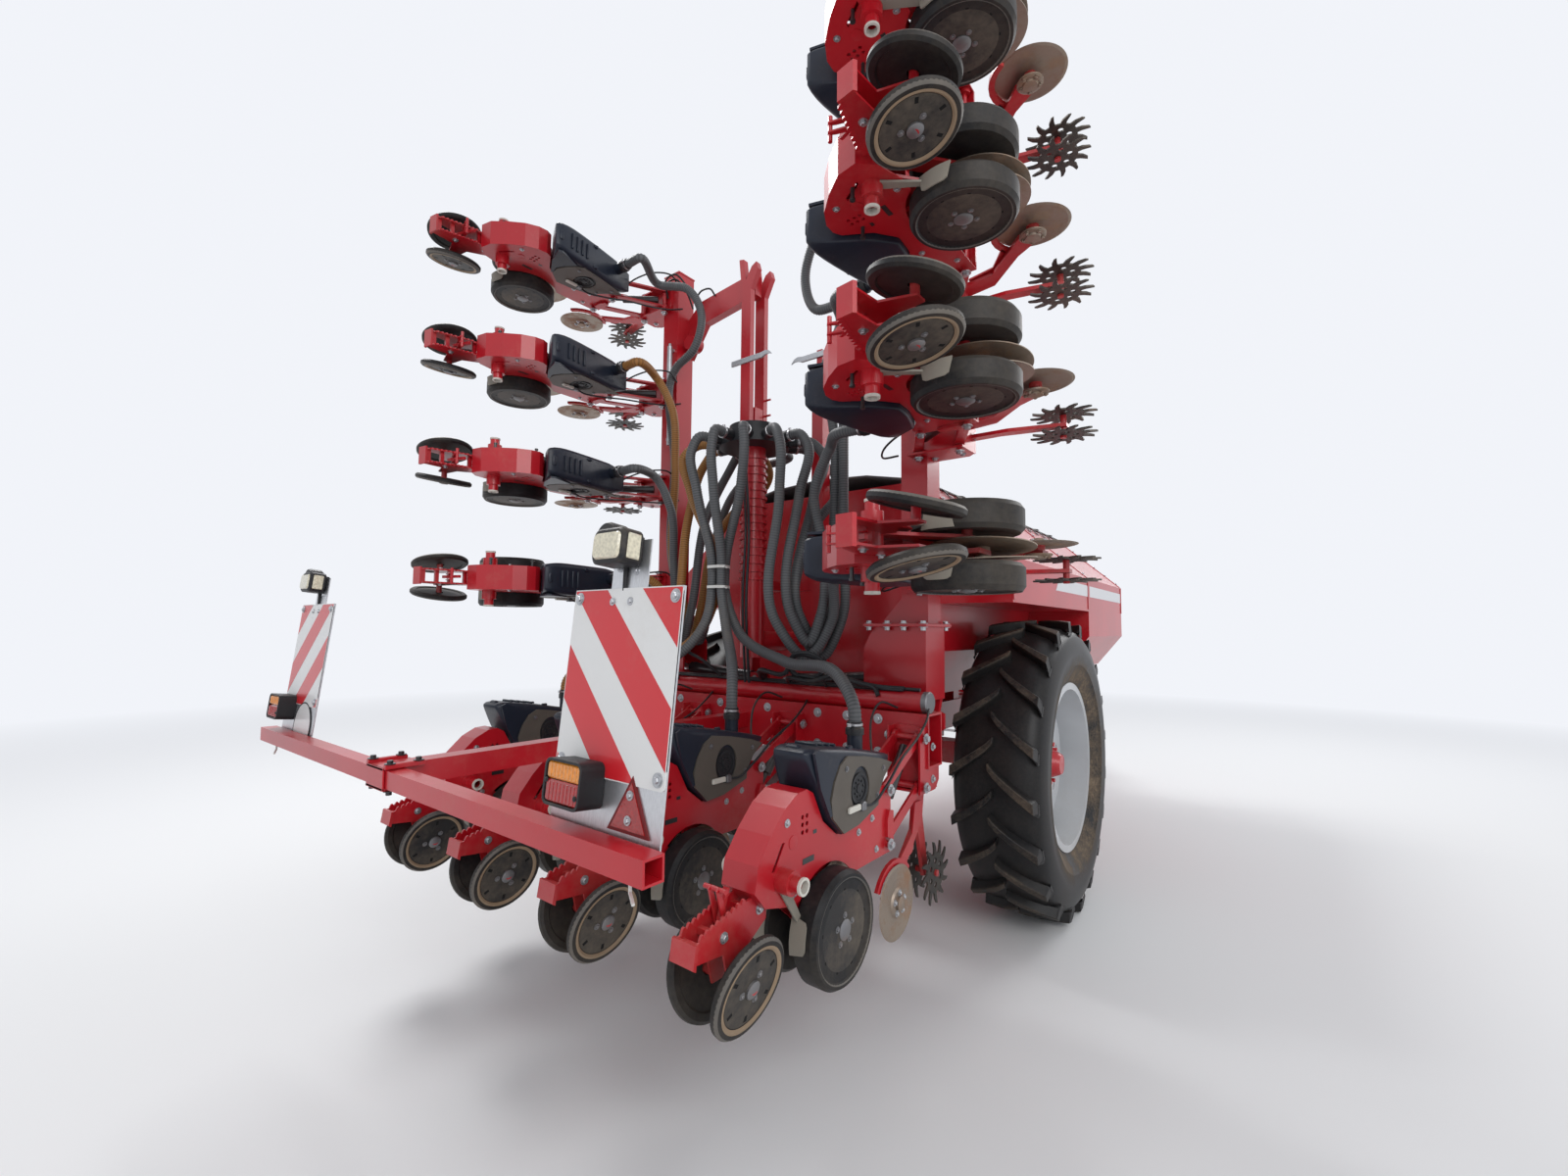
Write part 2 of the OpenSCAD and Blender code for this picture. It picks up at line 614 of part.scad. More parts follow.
// Masts: a twin post with a fork on the left, a single post on the right
mast_x = 270;
mast_y = -1928;
mast_w = 80;
mast_wall = 8;
mast_low_z = 3230;
mast_top_z = 4180;
module masts() color(machine_red) {
  base = bar_top + 18;
  for (s = [-1, 1])
    translate([s * mast_x - mast_w / 2, mast_y - mast_w / 2, base])
      difference() {
        cube([mast_w, mast_w, mast_low_z - base]);
        translate([mast_wall, mast_wall, -1])
          cube([mast_w - 2 * mast_wall, mast_w - 2 * mast_wall, mast_low_z - base - 440]);
      }
  for (s = [-1, 1])
    for (z = [2300, 3120])
      translate([s * mast_x + mast_w / 2, mast_y, z])
        rotate([0, 90, 0])
          cylinder(d = 22, h = 60);
  // Twin posts and fork head of the left mast
  for (y = [-92, 52])
    translate([-mast_x - 45, mast_y + y, mast_low_z - 420])
      cube([80, 40, mast_top_z - 160 - mast_low_z + 420]);
  translate([-mast_x - 45, mast_y - 92, mast_low_z - 420])
    cube([80, 184, 20]);
  for (y = [-92, 52])
    translate([0, mast_y + y + 40, 0])
      rotate([90, 0, 0])
        linear_extrude(height = 40)
          polygon([[-mast_x - 45, mast_top_z - 160], [-mast_x + 35, mast_top_z - 160],
            [-mast_x + 95, mast_top_z - 40], [-mast_x + 80, mast_top_z + 10], [-mast_x + 40, mast_top_z - 10], [-mast_x - 10, mast_top_z - 90],
            [-mast_x - 30, mast_top_z + 60], [-mast_x - 70, mast_top_z + 70]]);
  // Cross tie between the masts
  translate([-mast_x + mast_w / 2, mast_y - 20, 2000])
    cube([2 * mast_x - mast_w, 40, 60]);
  // Hooks
  translate([-mast_x - 120, mast_y - 100, 3520]) cube([260, 8, 30]);
  translate([mast_x - 20, mast_y - 20, mast_low_z]) cube([40, 20, 260]);
  translate([mast_x - 130, mast_y - 28, 3440]) cube([260, 8, 36]);
}

// Distributor: ribbed riser and round head over the toolbar
riser_y = -2240;
riser_d = 140;
riser_z0 = 1600;
riser_z1 = 2840;
duct_z = 1690;
duct_d = 120;
module distributor_riser() color(machine_red)
  difference() {
    union() {
      translate([0, riser_y, riser_z0]) cylinder(d = riser_d, h = riser_z1 - riser_z0);
      for (k = [0 : 15])
        translate([0, riser_y, 2050 + k * 48])
          cylinder(d = riser_d + 22, h = 16);
      translate([0, hopper_y0, duct_z]) rotate([90, 0, 0]) cylinder(d = duct_d, h = hopper_y0 - riser_y);
      translate([-mast_x + mast_w / 2, mast_y - 30, duct_z - 20])
        cube([2 * mast_x - mast_w, 60, 40]);
      translate([-30, riser_y + 20, 2004])
        cube([60, mast_y - 20 - riser_y - 20, 52]);
    }
    translate([0, riser_y, riser_z0 + 8]) cylinder(d = riser_d - 12, h = riser_z1 - riser_z0);
    translate([0, hopper_y0 + 1, duct_z]) rotate([90, 0, 0]) cylinder(d = duct_d - 12, h = hopper_y0 - riser_y);
  }

module distributor_head() color(dark) {
  translate([0, riser_y, riser_z1]) cylinder(d = 420, h = 70);
  translate([0, riser_y, riser_z1 + 70]) cylinder(d = 300, h = 60);
  for (k = [0 : 11])
    translate([0, riser_y, riser_z1 + 36])
      rotate([0, 0, k * 30])
        translate([190, 0, 0])
          rotate([0, 90, 0])
            cylinder(d = 66, h = 70);
}

// Hose through hand-chosen points: a smooth line, carried frames and eight-sided rings
hose_d = 58;
hose_sides = 8;
hose_steps = 3;
hose_gap = 0.4;
function unit(v) = v / max(norm(v), 0.001);
function cross_v(a, b) = [a[1] * b[2] - a[2] * b[1], a[2] * b[0] - a[0] * b[2], a[0] * b[1] - a[1] * b[0]];
function slope(p, k) = k == 0 ? unit(p[1] - p[0])
  : k == len(p) - 1 ? unit(p[k] - p[k - 1])
  : let (a = norm(p[k] - p[k - 1]), b = norm(p[k + 1] - p[k]))
    (unit(p[k] - p[k - 1]) * b + unit(p[k + 1] - p[k]) * a) / (a + b);
function on_span(p, k, t) = let (l = norm(p[k + 1] - p[k]))
  (2 * t * t * t - 3 * t * t + 1) * p[k] + (t * t * t - 2 * t * t + t) * l * slope(p, k)
  + (3 * t * t - 2 * t * t * t) * p[k + 1] + (t * t * t - t * t) * l * slope(p, k + 1);
function smooth(p) = concat(
  [for (k = [0 : len(p) - 2]) for (j = [0 : hose_steps - 1]) on_span(p, k, j / hose_steps)],
  [p[len(p) - 1]]);
function heading(p, k) = unit(p[min(k + 1, len(p) - 1)] - p[max(k - 1, 0)]);
function level(u, d) = unit(u - (u * d) * d);
module hose(p, first, last) {
  n = len(p) - 1;
  dirs = [for (k = [0 : n]) k == 0 ? unit(first) : k == n ? unit(last) : heading(p, k)];
  side0 = abs(dirs[0][1]) < 0.9 ? [0, 1, 0] : [1, 0, 0];
  sides = [for (k = 0, u = level(side0, dirs[0]); k <= n; k = k + 1, u = level(u, dirs[min(k, n)])) u];
  rings = [for (k = [0 : n])
    for (j = [0 : hose_sides - 1])
      p[k] + hose_d / 2 * (cos(j * 360 / hose_sides) * sides[k]
        + sin(j * 360 / hose_sides) * cross_v(dirs[k], sides[k]))];
  faces = concat(
    [[for (j = [0 : hose_sides - 1]) j]],
    [for (k = [0 : n - 1]) for (j = [0 : hose_sides - 1])
      [k * hose_sides + j, (k + 1) * hose_sides + j,
       (k + 1) * hose_sides + (j + 1) % hose_sides, k * hose_sides + (j + 1) % hose_sides]],
    [[for (j = [hose_sides - 1 : -1 : 0]) n * hose_sides + j]]);
  polyhedron(points = rings, faces = faces, convexity = 6);
}

// Outlet of the head at an angle, and inlet of a seed meter
outlet_r = 260;
outlet_z = riser_z1 + 36;
function outlet(a, out) = [(outlet_r + out) * cos(a), riser_y + (outlet_r + out) * sin(a), outlet_z];
function inlet(x, y, up) = [x - 30, y - 420, row_z + 20 + up];

// Hoses to the centre rows: columns are outlet angle, row, way from the head to the last bend
centre_hoses = [
  [210, 0, [[-380, -2450, 2810], [-335, -2440, 2600], [-145, -2395, 2117], [-145, -2395, 2002],
    [-190, -2440, 1790], [-560, -2560, 1540], [-960, -2700, 1540]]],
  [240, 1, [[-200, -2560, 2800], [-185, -2530, 2560], [-118, -2462, 2117], [-118, -2462, 2002],
    [-130, -2500, 1800], [-230, -2600, 1620], [-350, -2725, 1540]]],
  [270, 2, [[-10, -2590, 2800], [-25, -2560, 2560], [-50, -2455, 2117], [-50, -2455, 2002],
    [10, -2480, 1790], [150, -2590, 1640], [280, -2715, 1540]]],
  [300, 3, [[175, -2530, 2800], [110, -2480, 2560], [-78, -2395, 2117], [-78, -2395, 2002],
    [30, -2410, 1770], [460, -2520, 1600], [900, -2690, 1550]]]
];
module centre_hose(h) {
  x = centre_x0 + h[1] * row_pitch;
  way = concat(
    [outlet(h[0], hose_gap), outlet(h[0], 75)],
    h[2],
    [inlet(x, row_y, 90), inlet(x, row_y, hose_gap)]
  );
  hose(smooth(way), way[1] - way[0], [0, 0, -1]);
}

// Hoses to a wing: columns are outlet angle, row, way on the chassis, first way on the wing, lane, last swing
right_ways = [
  [330, 0, [[350, -2440, 2790], [345, -2430, 2500], [330, -2420, 1790], [455, -2330, 1615]],
    [[565, -2240, 1820]], [575, -2215], 0],
  [0, 1, [[400, -2250, 2800], [405, -2330, 2500], [395, -2360, 1810], [455, -2310, 1692]],
    [[505, -2265, 1840]], [510, -2250], 20],
  [30, 2, [[370, -2060, 2800], [400, -2190, 2500], [400, -2290, 1810], [455, -2220, 1692]],
    [[505, -2170, 1840]], [510, -2155], 20],
  [60, 3, [[190, -1860, 2830], [270, -1815, 2760], [390, -1880, 2640], [350, -2110, 2350], [335, -2240, 1790],
    [455, -2190, 1612]], [[570, -2155, 1820]], [575, -2150], 270]
];
left_ways = [
  [180, 0, [[410, -2250, 2800], [460, -2320, 2500], [495, -2370, 1860], [580, -2325, 1695]],
    [[660, -2290, 1900]], [665, -2270], 0],
  [150, 1, [[375, -2060, 2790], [430, -2190, 2500], [490, -2270, 1860], [578, -2245, 1695]],
    [[662, -2230, 1900]], [730, -2200], 20],
  [120, 2, [[190, -1860, 2800], [260, -1815, 2730], [400, -1880, 2620], [480, -2060, 2350], [500, -2175, 1870],
    [583, -2155, 1700]], [[662, -2155, 1890]], [790, -2150], 20],
  [90, 3, [[100, -1800, 2890], [290, -1780, 2880], [450, -1870, 2740], [530, -2000, 2400], [540, -2085, 1900],
    [550, -2081, 1760]], [[604, -2078, 1680], [656, -2081, 1750]], [840, -2112], 240]
];
// A place beside the folded wing, its first value from the machine's middle, in the frame of the wing folded out
function folded_out(side, p) = [side * (hinge_x + p[2] - hinge_z), p[1], hinge_z + hinge_x - side * p[0]];
function folded_in(side, p) = [side * (hinge_x + hinge_z - p[2]), p[1], hinge_z + side * p[0] - hinge_x];
function mirrored(side, way) = [for (p = way) [side * p[0], p[1], p[2]]];
function wing_inlet(side, row, up) = folded_in(side, inlet(side * (wing_x0 + row * row_pitch), wing_row_y, up));
function lane_way(side, row, start, lane, swing) =
  let (z = wing_inlet(side, row, 0)[2], x = lane[0], y = lane[1])
  concat(
    start,
    row == 0 ? [] : [for (k = [0 : row - 1]) [x, y, 2200 + k * row_pitch]],
    swing > 100 ? [[x - 0.7 * swing, y, z - 500], [x - swing, y, z - 270], [x - 0.6 * swing, y - 40, z - 80]]
      : row == 0 ? [] : [[x - swing, y - 60, z - 220]],
    [[max(x + 60, 640), y - 130, z - 15]]
  );
function wing_way(side, h) = concat(
  [outlet(h[0], hose_gap), outlet(h[0], 70)],
  mirrored(side, h[2]),
  mirrored(side, lane_way(side, h[1], h[3], h[4], h[5])),
  [wing_inlet(side, h[1], 160), wing_inlet(side, h[1], 80), wing_inlet(side, h[1], hose_gap)]
);
function turn(h) = hose_steps * (1 + len(h[2]));
module chassis_part(side, h) {
  way = wing_way(side, h);
  line = smooth(way);
  end = heading(line, turn(h));
  hose([for (k = [0 : turn(h)]) k < turn(h) ? line[k] : line[k] - hose_gap * end], way[1] - way[0], end);
}
module wing_part(side, h) {
  line = smooth(wing_way(side, h));
  end = heading(line, turn(h));
  n = len(line) - 1;
  out = [for (k = [turn(h) : n]) folded_out(side, line[k])];
  hose(out, folded_out(side, line[turn(h)] + end) - out[0], [0, 0, -1]);
}
module tower_hoses() color(dark) {
  for (h = centre_hoses) centre_hose(h);
  for (h = right_ways) chassis_part(1, h);
  for (h = left_ways) chassis_part(-1, h);
}
module right_hoses() color(dark) folded(1) for (h = right_ways) wing_part(1, h);
module left_hoses() color(dark) folded(-1) for (h = left_ways) wing_part(-1, h);

// Lamp carrier: central arm and crossbar behind the rows
cross_t = 60;
cross_y = rear_y + cross_t / 2 + 8;
cross_z = 1250;
cross_half = 1380;
carrier_w = 80;
module lamp_carrier() color(machine_red) {
  difference() {
    translate([-cross_half, cross_y - cross_t / 2, cross_z - cross_t / 2])
      cube([2 * cross_half, cross_t, cross_t]);
    translate([-cross_half - 1, cross_y - cross_t / 2 + 6, cross_z - cross_t / 2 + 6])
      cube([2 * cross_half + 2, cross_t - 12, cross_t - 12]);
  }
  translate([-carrier_w / 2, cross_y + cross_t / 2, cross_z - carrier_w / 2])
    difference() {
      cube([carrier_w, row_y + bar_gap - cross_y - cross_t / 2, carrier_w]);
      translate([6, 6, 6])
        cube([carrier_w - 12, row_y + bar_gap - cross_y - cross_t / 2, carrier_w - 12]);
    }
  translate([-70, cross_y - cross_t / 2 - 8, cross_z - cross_t / 2 - 8])
    cube([140, cross_t + 16 + 60, 8]);
  translate([-70, cross_y - cross_t / 2 - 8, cross_z + cross_t / 2])
    cube([140, cross_t + 16 + 60, 8]);
}

// Warning boards on their aluminium plates, leaning forward
plate_t = 5;
plate_h = 640;
board_h = 423;
module board_frame(side)
  mirror([side < 0 ? 1 : 0, 0, 0])
    translate([board_out - board_w, cross_y + cross_t / 2, cross_z - cross_t / 2])
      rotate([-board_lean, 0, 0])
        children();

module warning_boards() color("#d8dadc")
  for (s = [-1, 1])
    board_frame(s) {
      translate([0, 6, 6]) cube([board_w, plate_t, plate_h]);
      translate([0, 3, plate_h - board_h + 6]) cube([board_w, 3, board_h]);
      translate([board_w / 2 - 70, 6 + plate_t, plate_h - 40]) cube([140, 4, 170]);
      for (x = [60, board_w - 90])
        translate([x, 0, 0])
          rotate([90, 0, 90])
            linear_extrude(height = 30)
              polygon([[-14 * tan(board_lean), 14], [-44 * tan(board_lean), 44], [6, 44], [6, 14]]);
    }

module tail_lamps() color("#c8501c")
  for (s = [-1, 1])
    board_frame(s) {
      translate([60, -62, 106]) cube([150, 65 + 3, 106]);
      translate([240, 1, 70])
        rotate([90, 0, 0])
          translate([0, 0, -5])
            linear_extrude(height = 5)
              polygon([[0, 0], [150, 0], [75, 130]]);
    }

module work_lamps() color(dark)
  for (s = [-1, 1])
    board_frame(s)
      translate([board_w / 2 - 60, -60, plate_h + 60]) {
        cube([120, 66 + plate_t, 90]);
        translate([20, -8, 12]) cube([80, 8, 66]);
      }

// Chassis frame: rails, crossmembers and axle
rail_x = 430;
rail_w = 110;
rail_z0 = 1040;
rail_h = 200;
rail_y1 = 1700;
axle_z = tyre_d / 2;
axle_t = 150;
spindle_d = 80;
hub_x0 = 860;
module frame() color(machine_red) {
  for (s = [-1, 1])
    translate([s * rail_x - rail_w / 2, bar_y + bar_depth / 2, rail_z0])
      cube([rail_w, rail_y1 - bar_y - bar_depth / 2, rail_h]);
  for (y = [-1700, axle_y - 100, 300, rail_y1 - 140])
    translate([-rail_x + rail_w / 2, y, rail_z0 + 20])
      cube([2 * rail_x - rail_w, 120, rail_h - 40]);
  // Axle beam and its stands
  translate([-hub_x0 + 40, axle_y - axle_t / 2, axle_z - axle_t / 2])
    cube([2 * hub_x0 - 80, axle_t, axle_t]);
  for (s = [-1, 1])
    translate([s * rail_x - rail_w / 2, axle_y - 130, axle_z + axle_t / 2])
      cube([rail_w, 260, rail_z0 - axle_z - axle_t / 2]);
  // Posts under the platform
  for (s = [-1, 1])
    translate([s * rail_x - 40, hopper_y1 + 20, rail_z0 + rail_h])
      cube([80, 70, deck_z - rail_z0 - rail_h]);
  // Posts under the hopper
  for (s = [-1, 1])
    for (y = [-1450, -400, 450, 1350])
      translate([s * rail_x - 40, y, rail_z0 + rail_h])
        cube([80, 100, hopper_low_z - rail_z0 - rail_h]);
}

module axle_spindles() color(steel_grey)
  for (s = [-1, 1])
    mirror([s < 0 ? 1 : 0, 0, 0])
      translate([hub_x0 - 40, axle_y, axle_z])
        rotate([0, 90, 0]) {
          cylinder(d = 150, h = 24);
          cylinder(d = spindle_d, h = half_track + 60 - hub_x0 + 40);
        }

// Drawbar: two beams that meet at the towing eye
eye_d = 120;
draw_h = 180;
module drawbar() color(machine_red) {
  for (s = [-1, 1])
    mirror([s < 0 ? 1 : 0, 0, 0])
      translate([0, 0, rail_z0 + 10])
        linear_extrude(height = draw_h)
          polygon([[rail_x - rail_w / 2, rail_y1], [rail_x + rail_w / 2, rail_y1],
            [90, 2700], [0, 2700], [0, 2560]]);
  translate([-85, 2640, 0])
    rotate([90, 0, 90])
      linear_extrude(height = 170)
        polygon([[0, rail_z0 + 10], [60, rail_z0 + 10], [front_y - 460 - 2640, eye_z - 80],
          [front_y - 260 - 2640, eye_z - 80], [front_y - 260 - 2640, eye_z + 80],
          [front_y - 420 - 2640, eye_z + 110], [60, rail_z0 + 10 + draw_h], [0, rail_z0 + 10 + draw_h]]);
}

module towing_eye() color(steel_grey)
  difference() {
    union() {
      translate([0, front_y - eye_d / 2, eye_z - 22]) cylinder(d = eye_d, h = 44);
      translate([-38, front_y - 240, eye_z - 22]) cube([76, 200, 44]);
      translate([-85, front_y - 260, eye_z - 80]) cube([170, 24, 160]);
    }
    translate([0, front_y - eye_d / 2, eye_z - 60]) cylinder(d = eye_bore, h = 120);
  }

// Parking jack beside the drawbar
jack_x = 190;
jack_y = 3000;
jack_d = 90;
jack_in_d = 70;
jack_top = 1180;
module jack_sleeve() color(machine_red) {
  difference() {
    translate([jack_x, jack_y, 460]) cylinder(d = jack_d, h = jack_top - 460);
    translate([jack_x, jack_y, 459]) cylinder(d = jack_in_d + 2 * run_gap, h = jack_top - 460 - 20);
  }
  translate([85, jack_y - 50, 880]) cube([jack_x - 85 - jack_d / 2 + 6, 100, 120]);
}
module jack_leg() color(steel_grey) {
  translate([jack_x, jack_y, 14]) cylinder(d = jack_in_d, h = 1060 - 14);
  translate([jack_x, jack_y, 0]) cylinder(d = 260, h = 16);
}

// Hopper: two lengths of shell with sloping shoulders, open at the top
hopper_low_z = 1330;
hopper_split_y = 260;
tyre_room_z = 1925;
rear_section = [[0, hopper_low_z + 4], [600, hopper_low_z + 4], [845, 1640], [845, tyre_room_z],
  [hopper_half, tyre_room_z], [hopper_half, eave_z], [mouth_half, mouth_z], [0, mouth_z]];
front_section = [[0, hopper_low_z], [640, hopper_low_z], [1090, 1465], [hopper_half, 1730],
  [hopper_half, eave_z], [mouth_half, mouth_z], [0, mouth_z]];
module both(pts)
  polygon(concat(pts, [for (k = [len(pts) - 2 : -1 : 1]) [-pts[k][0], pts[k][1]]]));
module along(y0, y1) translate([0, y1, 0]) rotate([90, 0, 0]) linear_extrude(height = y1 - y0) children();
rear_inner = [[0, hopper_low_z + 14], [594, hopper_low_z + 14], [834, 1646], [834, tyre_room_z + 10],
  [hopper_half - 8, tyre_room_z + 10], [hopper_half - 8, eave_z - 4], [mouth_half - 6, mouth_z - 9],
  [mouth_half - 6, mouth_z + 20], [0, mouth_z + 20]];
front_inner = [[0, hopper_low_z + 10], [636, hopper_low_z + 10], [1083, 1473], [hopper_half - 8, 1733],
  [hopper_half - 8, eave_z - 4], [mouth_half - 6, mouth_z - 9],
  [mouth_half - 6, mouth_z + 20], [0, mouth_z + 20]];
module hopper_rear() color(machine_red)
  difference() {
    along(hopper_y0, hopper_split_y) both(rear_section);
    along(hopper_y0 + hopper_wall, hopper_split_y - hopper_wall) both(rear_inner);
  }
module hopper_front() color(machine_red)
  difference() {
    along(hopper_split_y, hopper_y1) both(front_section);
    along(hopper_split_y + hopper_wall, hopper_y1 - hopper_wall) both(front_inner);
  }

module hopper_cover() color(dark)
  along(hopper_y0 - 14, hopper_y1 + 14)
    both([[0, mouth_z + 108], [380, mouth_z + 84], [mouth_half + 14, mouth_z + 8], [mouth_half + 14, mouth_z],
      [mouth_half - 20, mouth_z], [372, mouth_z + 74], [0, mouth_z + 96]]);

// Platform and ladder in front of the hopper
deck_half = 900;
deck_len = 640;
deck_z = 1420;
deck_t = 40;
post_w = 36;
hand_rail_z = 2360;
knee_rail_z = 1900;
ladder_w = 400;
ladder_z0 = 520;
deck_slots = 9;
slot_w = 150;
slot_step = (2 * deck_half - 60) / deck_slots;
module platform() color(steel_grey) {
  difference() {
    translate([-deck_half, hopper_y1, deck_z]) cube([2 * deck_half, deck_len, deck_t]);
    for (k = [0 : deck_slots - 1])
      translate([-deck_half + 50 + k * slot_step, hopper_y1 + 60, deck_z - 10])
        cube([slot_w, deck_len - 100, deck_t + 20]);
  }
  for (x = [-deck_half + 4, -deck_half + ladder_w - 28])
    translate([x, hopper_y1 + deck_len, ladder_z0]) cube([32, 60, deck_z + deck_t - ladder_z0]);
  for (k = [0 : 3])
    translate([-deck_half + 36, hopper_y1 + deck_len + 5, ladder_z0 + 40 + k * 240])
      cube([ladder_w - 64, 50, 26]);
}
module platform_rails() color(steel_grey)
  for (x = [-deck_half, deck_half - post_w]) {
    for (y = [hopper_y1, hopper_y1 + deck_len - post_w])
      translate([x, y, deck_z + deck_t]) cube([post_w, post_w, hand_rail_z - deck_z - deck_t]);
    translate([x, hopper_y1, hand_rail_z]) cube([post_w, deck_len, post_w]);
    translate([x, hopper_y1 + post_w, knee_rail_z]) cube([post_w, deck_len - 2 * post_w, post_w]);
  }

// Fan that blows the seed air, between the drawbar beams
fan_y = 1900;
fan_z = 1150;
fan_d = 400;
module fan() color(dark) {
  translate([0, fan_y, fan_z]) rotate([0, 90, 0]) cylinder(d = fan_d, h = 160, center = true);
  translate([-50, rail_y1 - 20, fan_z - 60]) cube([100, 80, 90]);
  translate([-60, hopper_y1 - 120, hopper_low_z - 60]) cube([120, fan_y - 120 - hopper_y1 + 120, 60]);
  translate([-60, fan_y - 190, fan_z]) cube([120, 70, hopper_low_z - fan_z]);
}

// Road wheels: tyre with lugs, rim with hub
carcass_r = tyre_d / 2 - lug_h;
bead_r = rim_d / 2 - 30 + 0.3;
bead_x = tyre_w / 2 - 70.3;
tyre_wall = 30;
bead_in = 20;
tyre_sides = 2 * lug_count;
bead_clear_r = bead_r / cos(180 / tyre_sides) + 0.2;
// Casing outside and air space, columns radius and distance from the middle
casing = [[bead_clear_r, bead_in - bead_x], [rim_d / 2 + 150, -tyre_w / 2],
  [carcass_r - 70, -tyre_w / 2 + 12], [carcass_r, -tyre_w / 2 + 70], [carcass_r, tyre_w / 2 - 70],
  [carcass_r - 70, tyre_w / 2 - 12], [rim_d / 2 + 150, tyre_w / 2], [bead_clear_r, bead_x - bead_in]];
air_space = [[bead_r - 20, bead_in - bead_x + tyre_wall], [rim_d / 2 + 190, -tyre_w / 2 + tyre_wall],
  [carcass_r - tyre_wall - 20, -tyre_w / 2 + 80], [carcass_r - tyre_wall - 20, tyre_w / 2 - 80],
  [rim_d / 2 + 190, tyre_w / 2 - tyre_wall], [bead_r - 20, bead_x - bead_in - tyre_wall]];
// Many-sided ring about the X axis from a table of radius and place
module ring_solid(table, sides) {
  n = len(table);
  polyhedron(
    points = [for (k = [0 : sides - 1]) for (p = table)
      [p[1], p[0] * sin(360 * k / sides), p[0] * cos(360 * k / sides)]],
    faces = [for (k = [0 : sides - 1]) for (i = [0 : n - 1])
      [k * n + i, ((k + 1) % sides) * n + i, ((k + 1) % sides) * n + (i + 1) % n, k * n + (i + 1) % n]]
  );
}
lug_shape = [[-14, 92], [10, 130], [tyre_w / 2 - 24, -62], [tyre_w / 2 - 24, -112], [tyre_w / 2 - 80, -92]];
module tyre_shape()
  difference() {
    union() {
      ring_solid(casing, tyre_sides);
      intersection() {
        rotate([0, 90, 0])
          linear_extrude(height = tyre_w, center = true)
            polygon([for (k = [0 : tyre_sides - 1])
              tyre_d / 2 * [cos(360 * k / tyre_sides), sin(360 * k / tyre_sides)]]);
        for (s = [-1, 1])
          for (k = [0 : lug_count - 1])
            rotate([(k + (s > 0 ? 0 : 0.5)) * 360 / lug_count, 0, 0])
              translate([0, 0, carcass_r - 110])
                mirror([s < 0 ? 1 : 0, 0, 0])
                  linear_extrude(height = lug_h + 130)
                    polygon(lug_shape);
      }
    }
    ring_solid(air_space, tyre_sides);
  }
module tyre_right() color(dark) translate([half_track, axle_y, axle_z]) tyre_shape();
module tyre_left() color(dark) translate([-half_track, axle_y, axle_z]) tyre_shape();

module rim_shape() {
  h = tyre_w / 2;
  rotate([0, 90, 0])
    difference() {
      rotate_extrude($fn = 96)
        polygon([[rim_d / 2, h - 62], [rim_d / 2, h - 70], [rim_d / 2 - 30, h - 70], [rim_d / 2 - 30, -h + 70],
          [rim_d / 2, -h + 70], [rim_d / 2, -h + 62], [rim_d / 2 - 42, -h + 62], [rim_d / 2 - 42, -40],
          [rim_d / 2 - 110, -30], [rim_d / 2 - 160, 30], [150, 50], [spindle_d / 2 + run_gap, 50],
          [spindle_d / 2 + run_gap, 66], [148, 66], [rim_d / 2 - 150, 44],
          [rim_d / 2 - 98, -14], [rim_d / 2 - 42, -22], [rim_d / 2 - 42, h - 62]]);
      for (k = [0 : 9])
        rotate([0, 0, k * 36])
          translate([210, 0, 0])
            cylinder(r = 24, h = 200, $fn = 20);
    }
}
module rim_right() color("#b9bcc0") translate([half_track, axle_y, axle_z]) rim_shape();
module rim_left() color("#b9bcc0") mirror([1, 0, 0]) translate([half_track, axle_y, axle_z]) rim_shape();

module hub_shape()
  rotate([0, 90, 0]) {
    rotate_extrude($fn = 64)
      polygon([[spindle_d / 2 + run_gap, -230], [80, -230], [95, -120], [95, 30], [130, 34], [130, 49.9],
        [spindle_d / 2 + run_gap, 49.9]]);
    rotate_extrude($fn = 64)
      polygon([[0, 96], [0, 150], [60, 146], [70, 130], [96, 66.1], [50, 66.1], [50, 96]]);
    for (k = [0 : 9])
      rotate([0, 0, k * 36 + 18])
        translate([120, 0, 66.1])
          cylinder(r = 14, h = 26, $fn = 6);
  }
module hub_right() color(machine_red) translate([half_track, axle_y, axle_z]) hub_shape();
module hub_left() color(machine_red) mirror([1, 0, 0]) translate([half_track, axle_y, axle_z]) hub_shape();

frame();
axle_spindles();
drawbar();
towing_eye();
jack_sleeve();
jack_leg();
hopper_rear();
hopper_front();
hopper_cover();
platform();
platform_rails();
fan();
toolbar_centre();
mast_base();
hinge_pins();
masts();
distributor_riser();
distributor_head();
tower_hoses();
lamp_carrier();
warning_boards();
tail_lamps();
work_lamps();
centre_row_frames();
centre_row_meters();
centre_gauge_wheels();
centre_closing_wheels();
centre_row_discs();
centre_row_cleaners();
wing_right();
right_hoses();
right_row_frames();
right_row_meters();
right_gauge_wheels();
right_closing_wheels();
right_row_discs();
right_row_cleaners();
wing_left();
left_hoses();
left_row_frames();
left_row_meters();
left_gauge_wheels();
left_closing_wheels();
left_row_discs();
left_row_cleaners();
fold_barrel_right();
fold_rod_right();
fold_barrel_left();
fold_rod_left();
tyre_right();
rim_right();
hub_right();
tyre_left();
rim_left();
hub_left();
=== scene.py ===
# Looks of the folded seed drill, in metres, +Y is the direction of travel and +Z is up
import json
import math

import bmesh
import bpy
from mathutils import Matrix, Vector


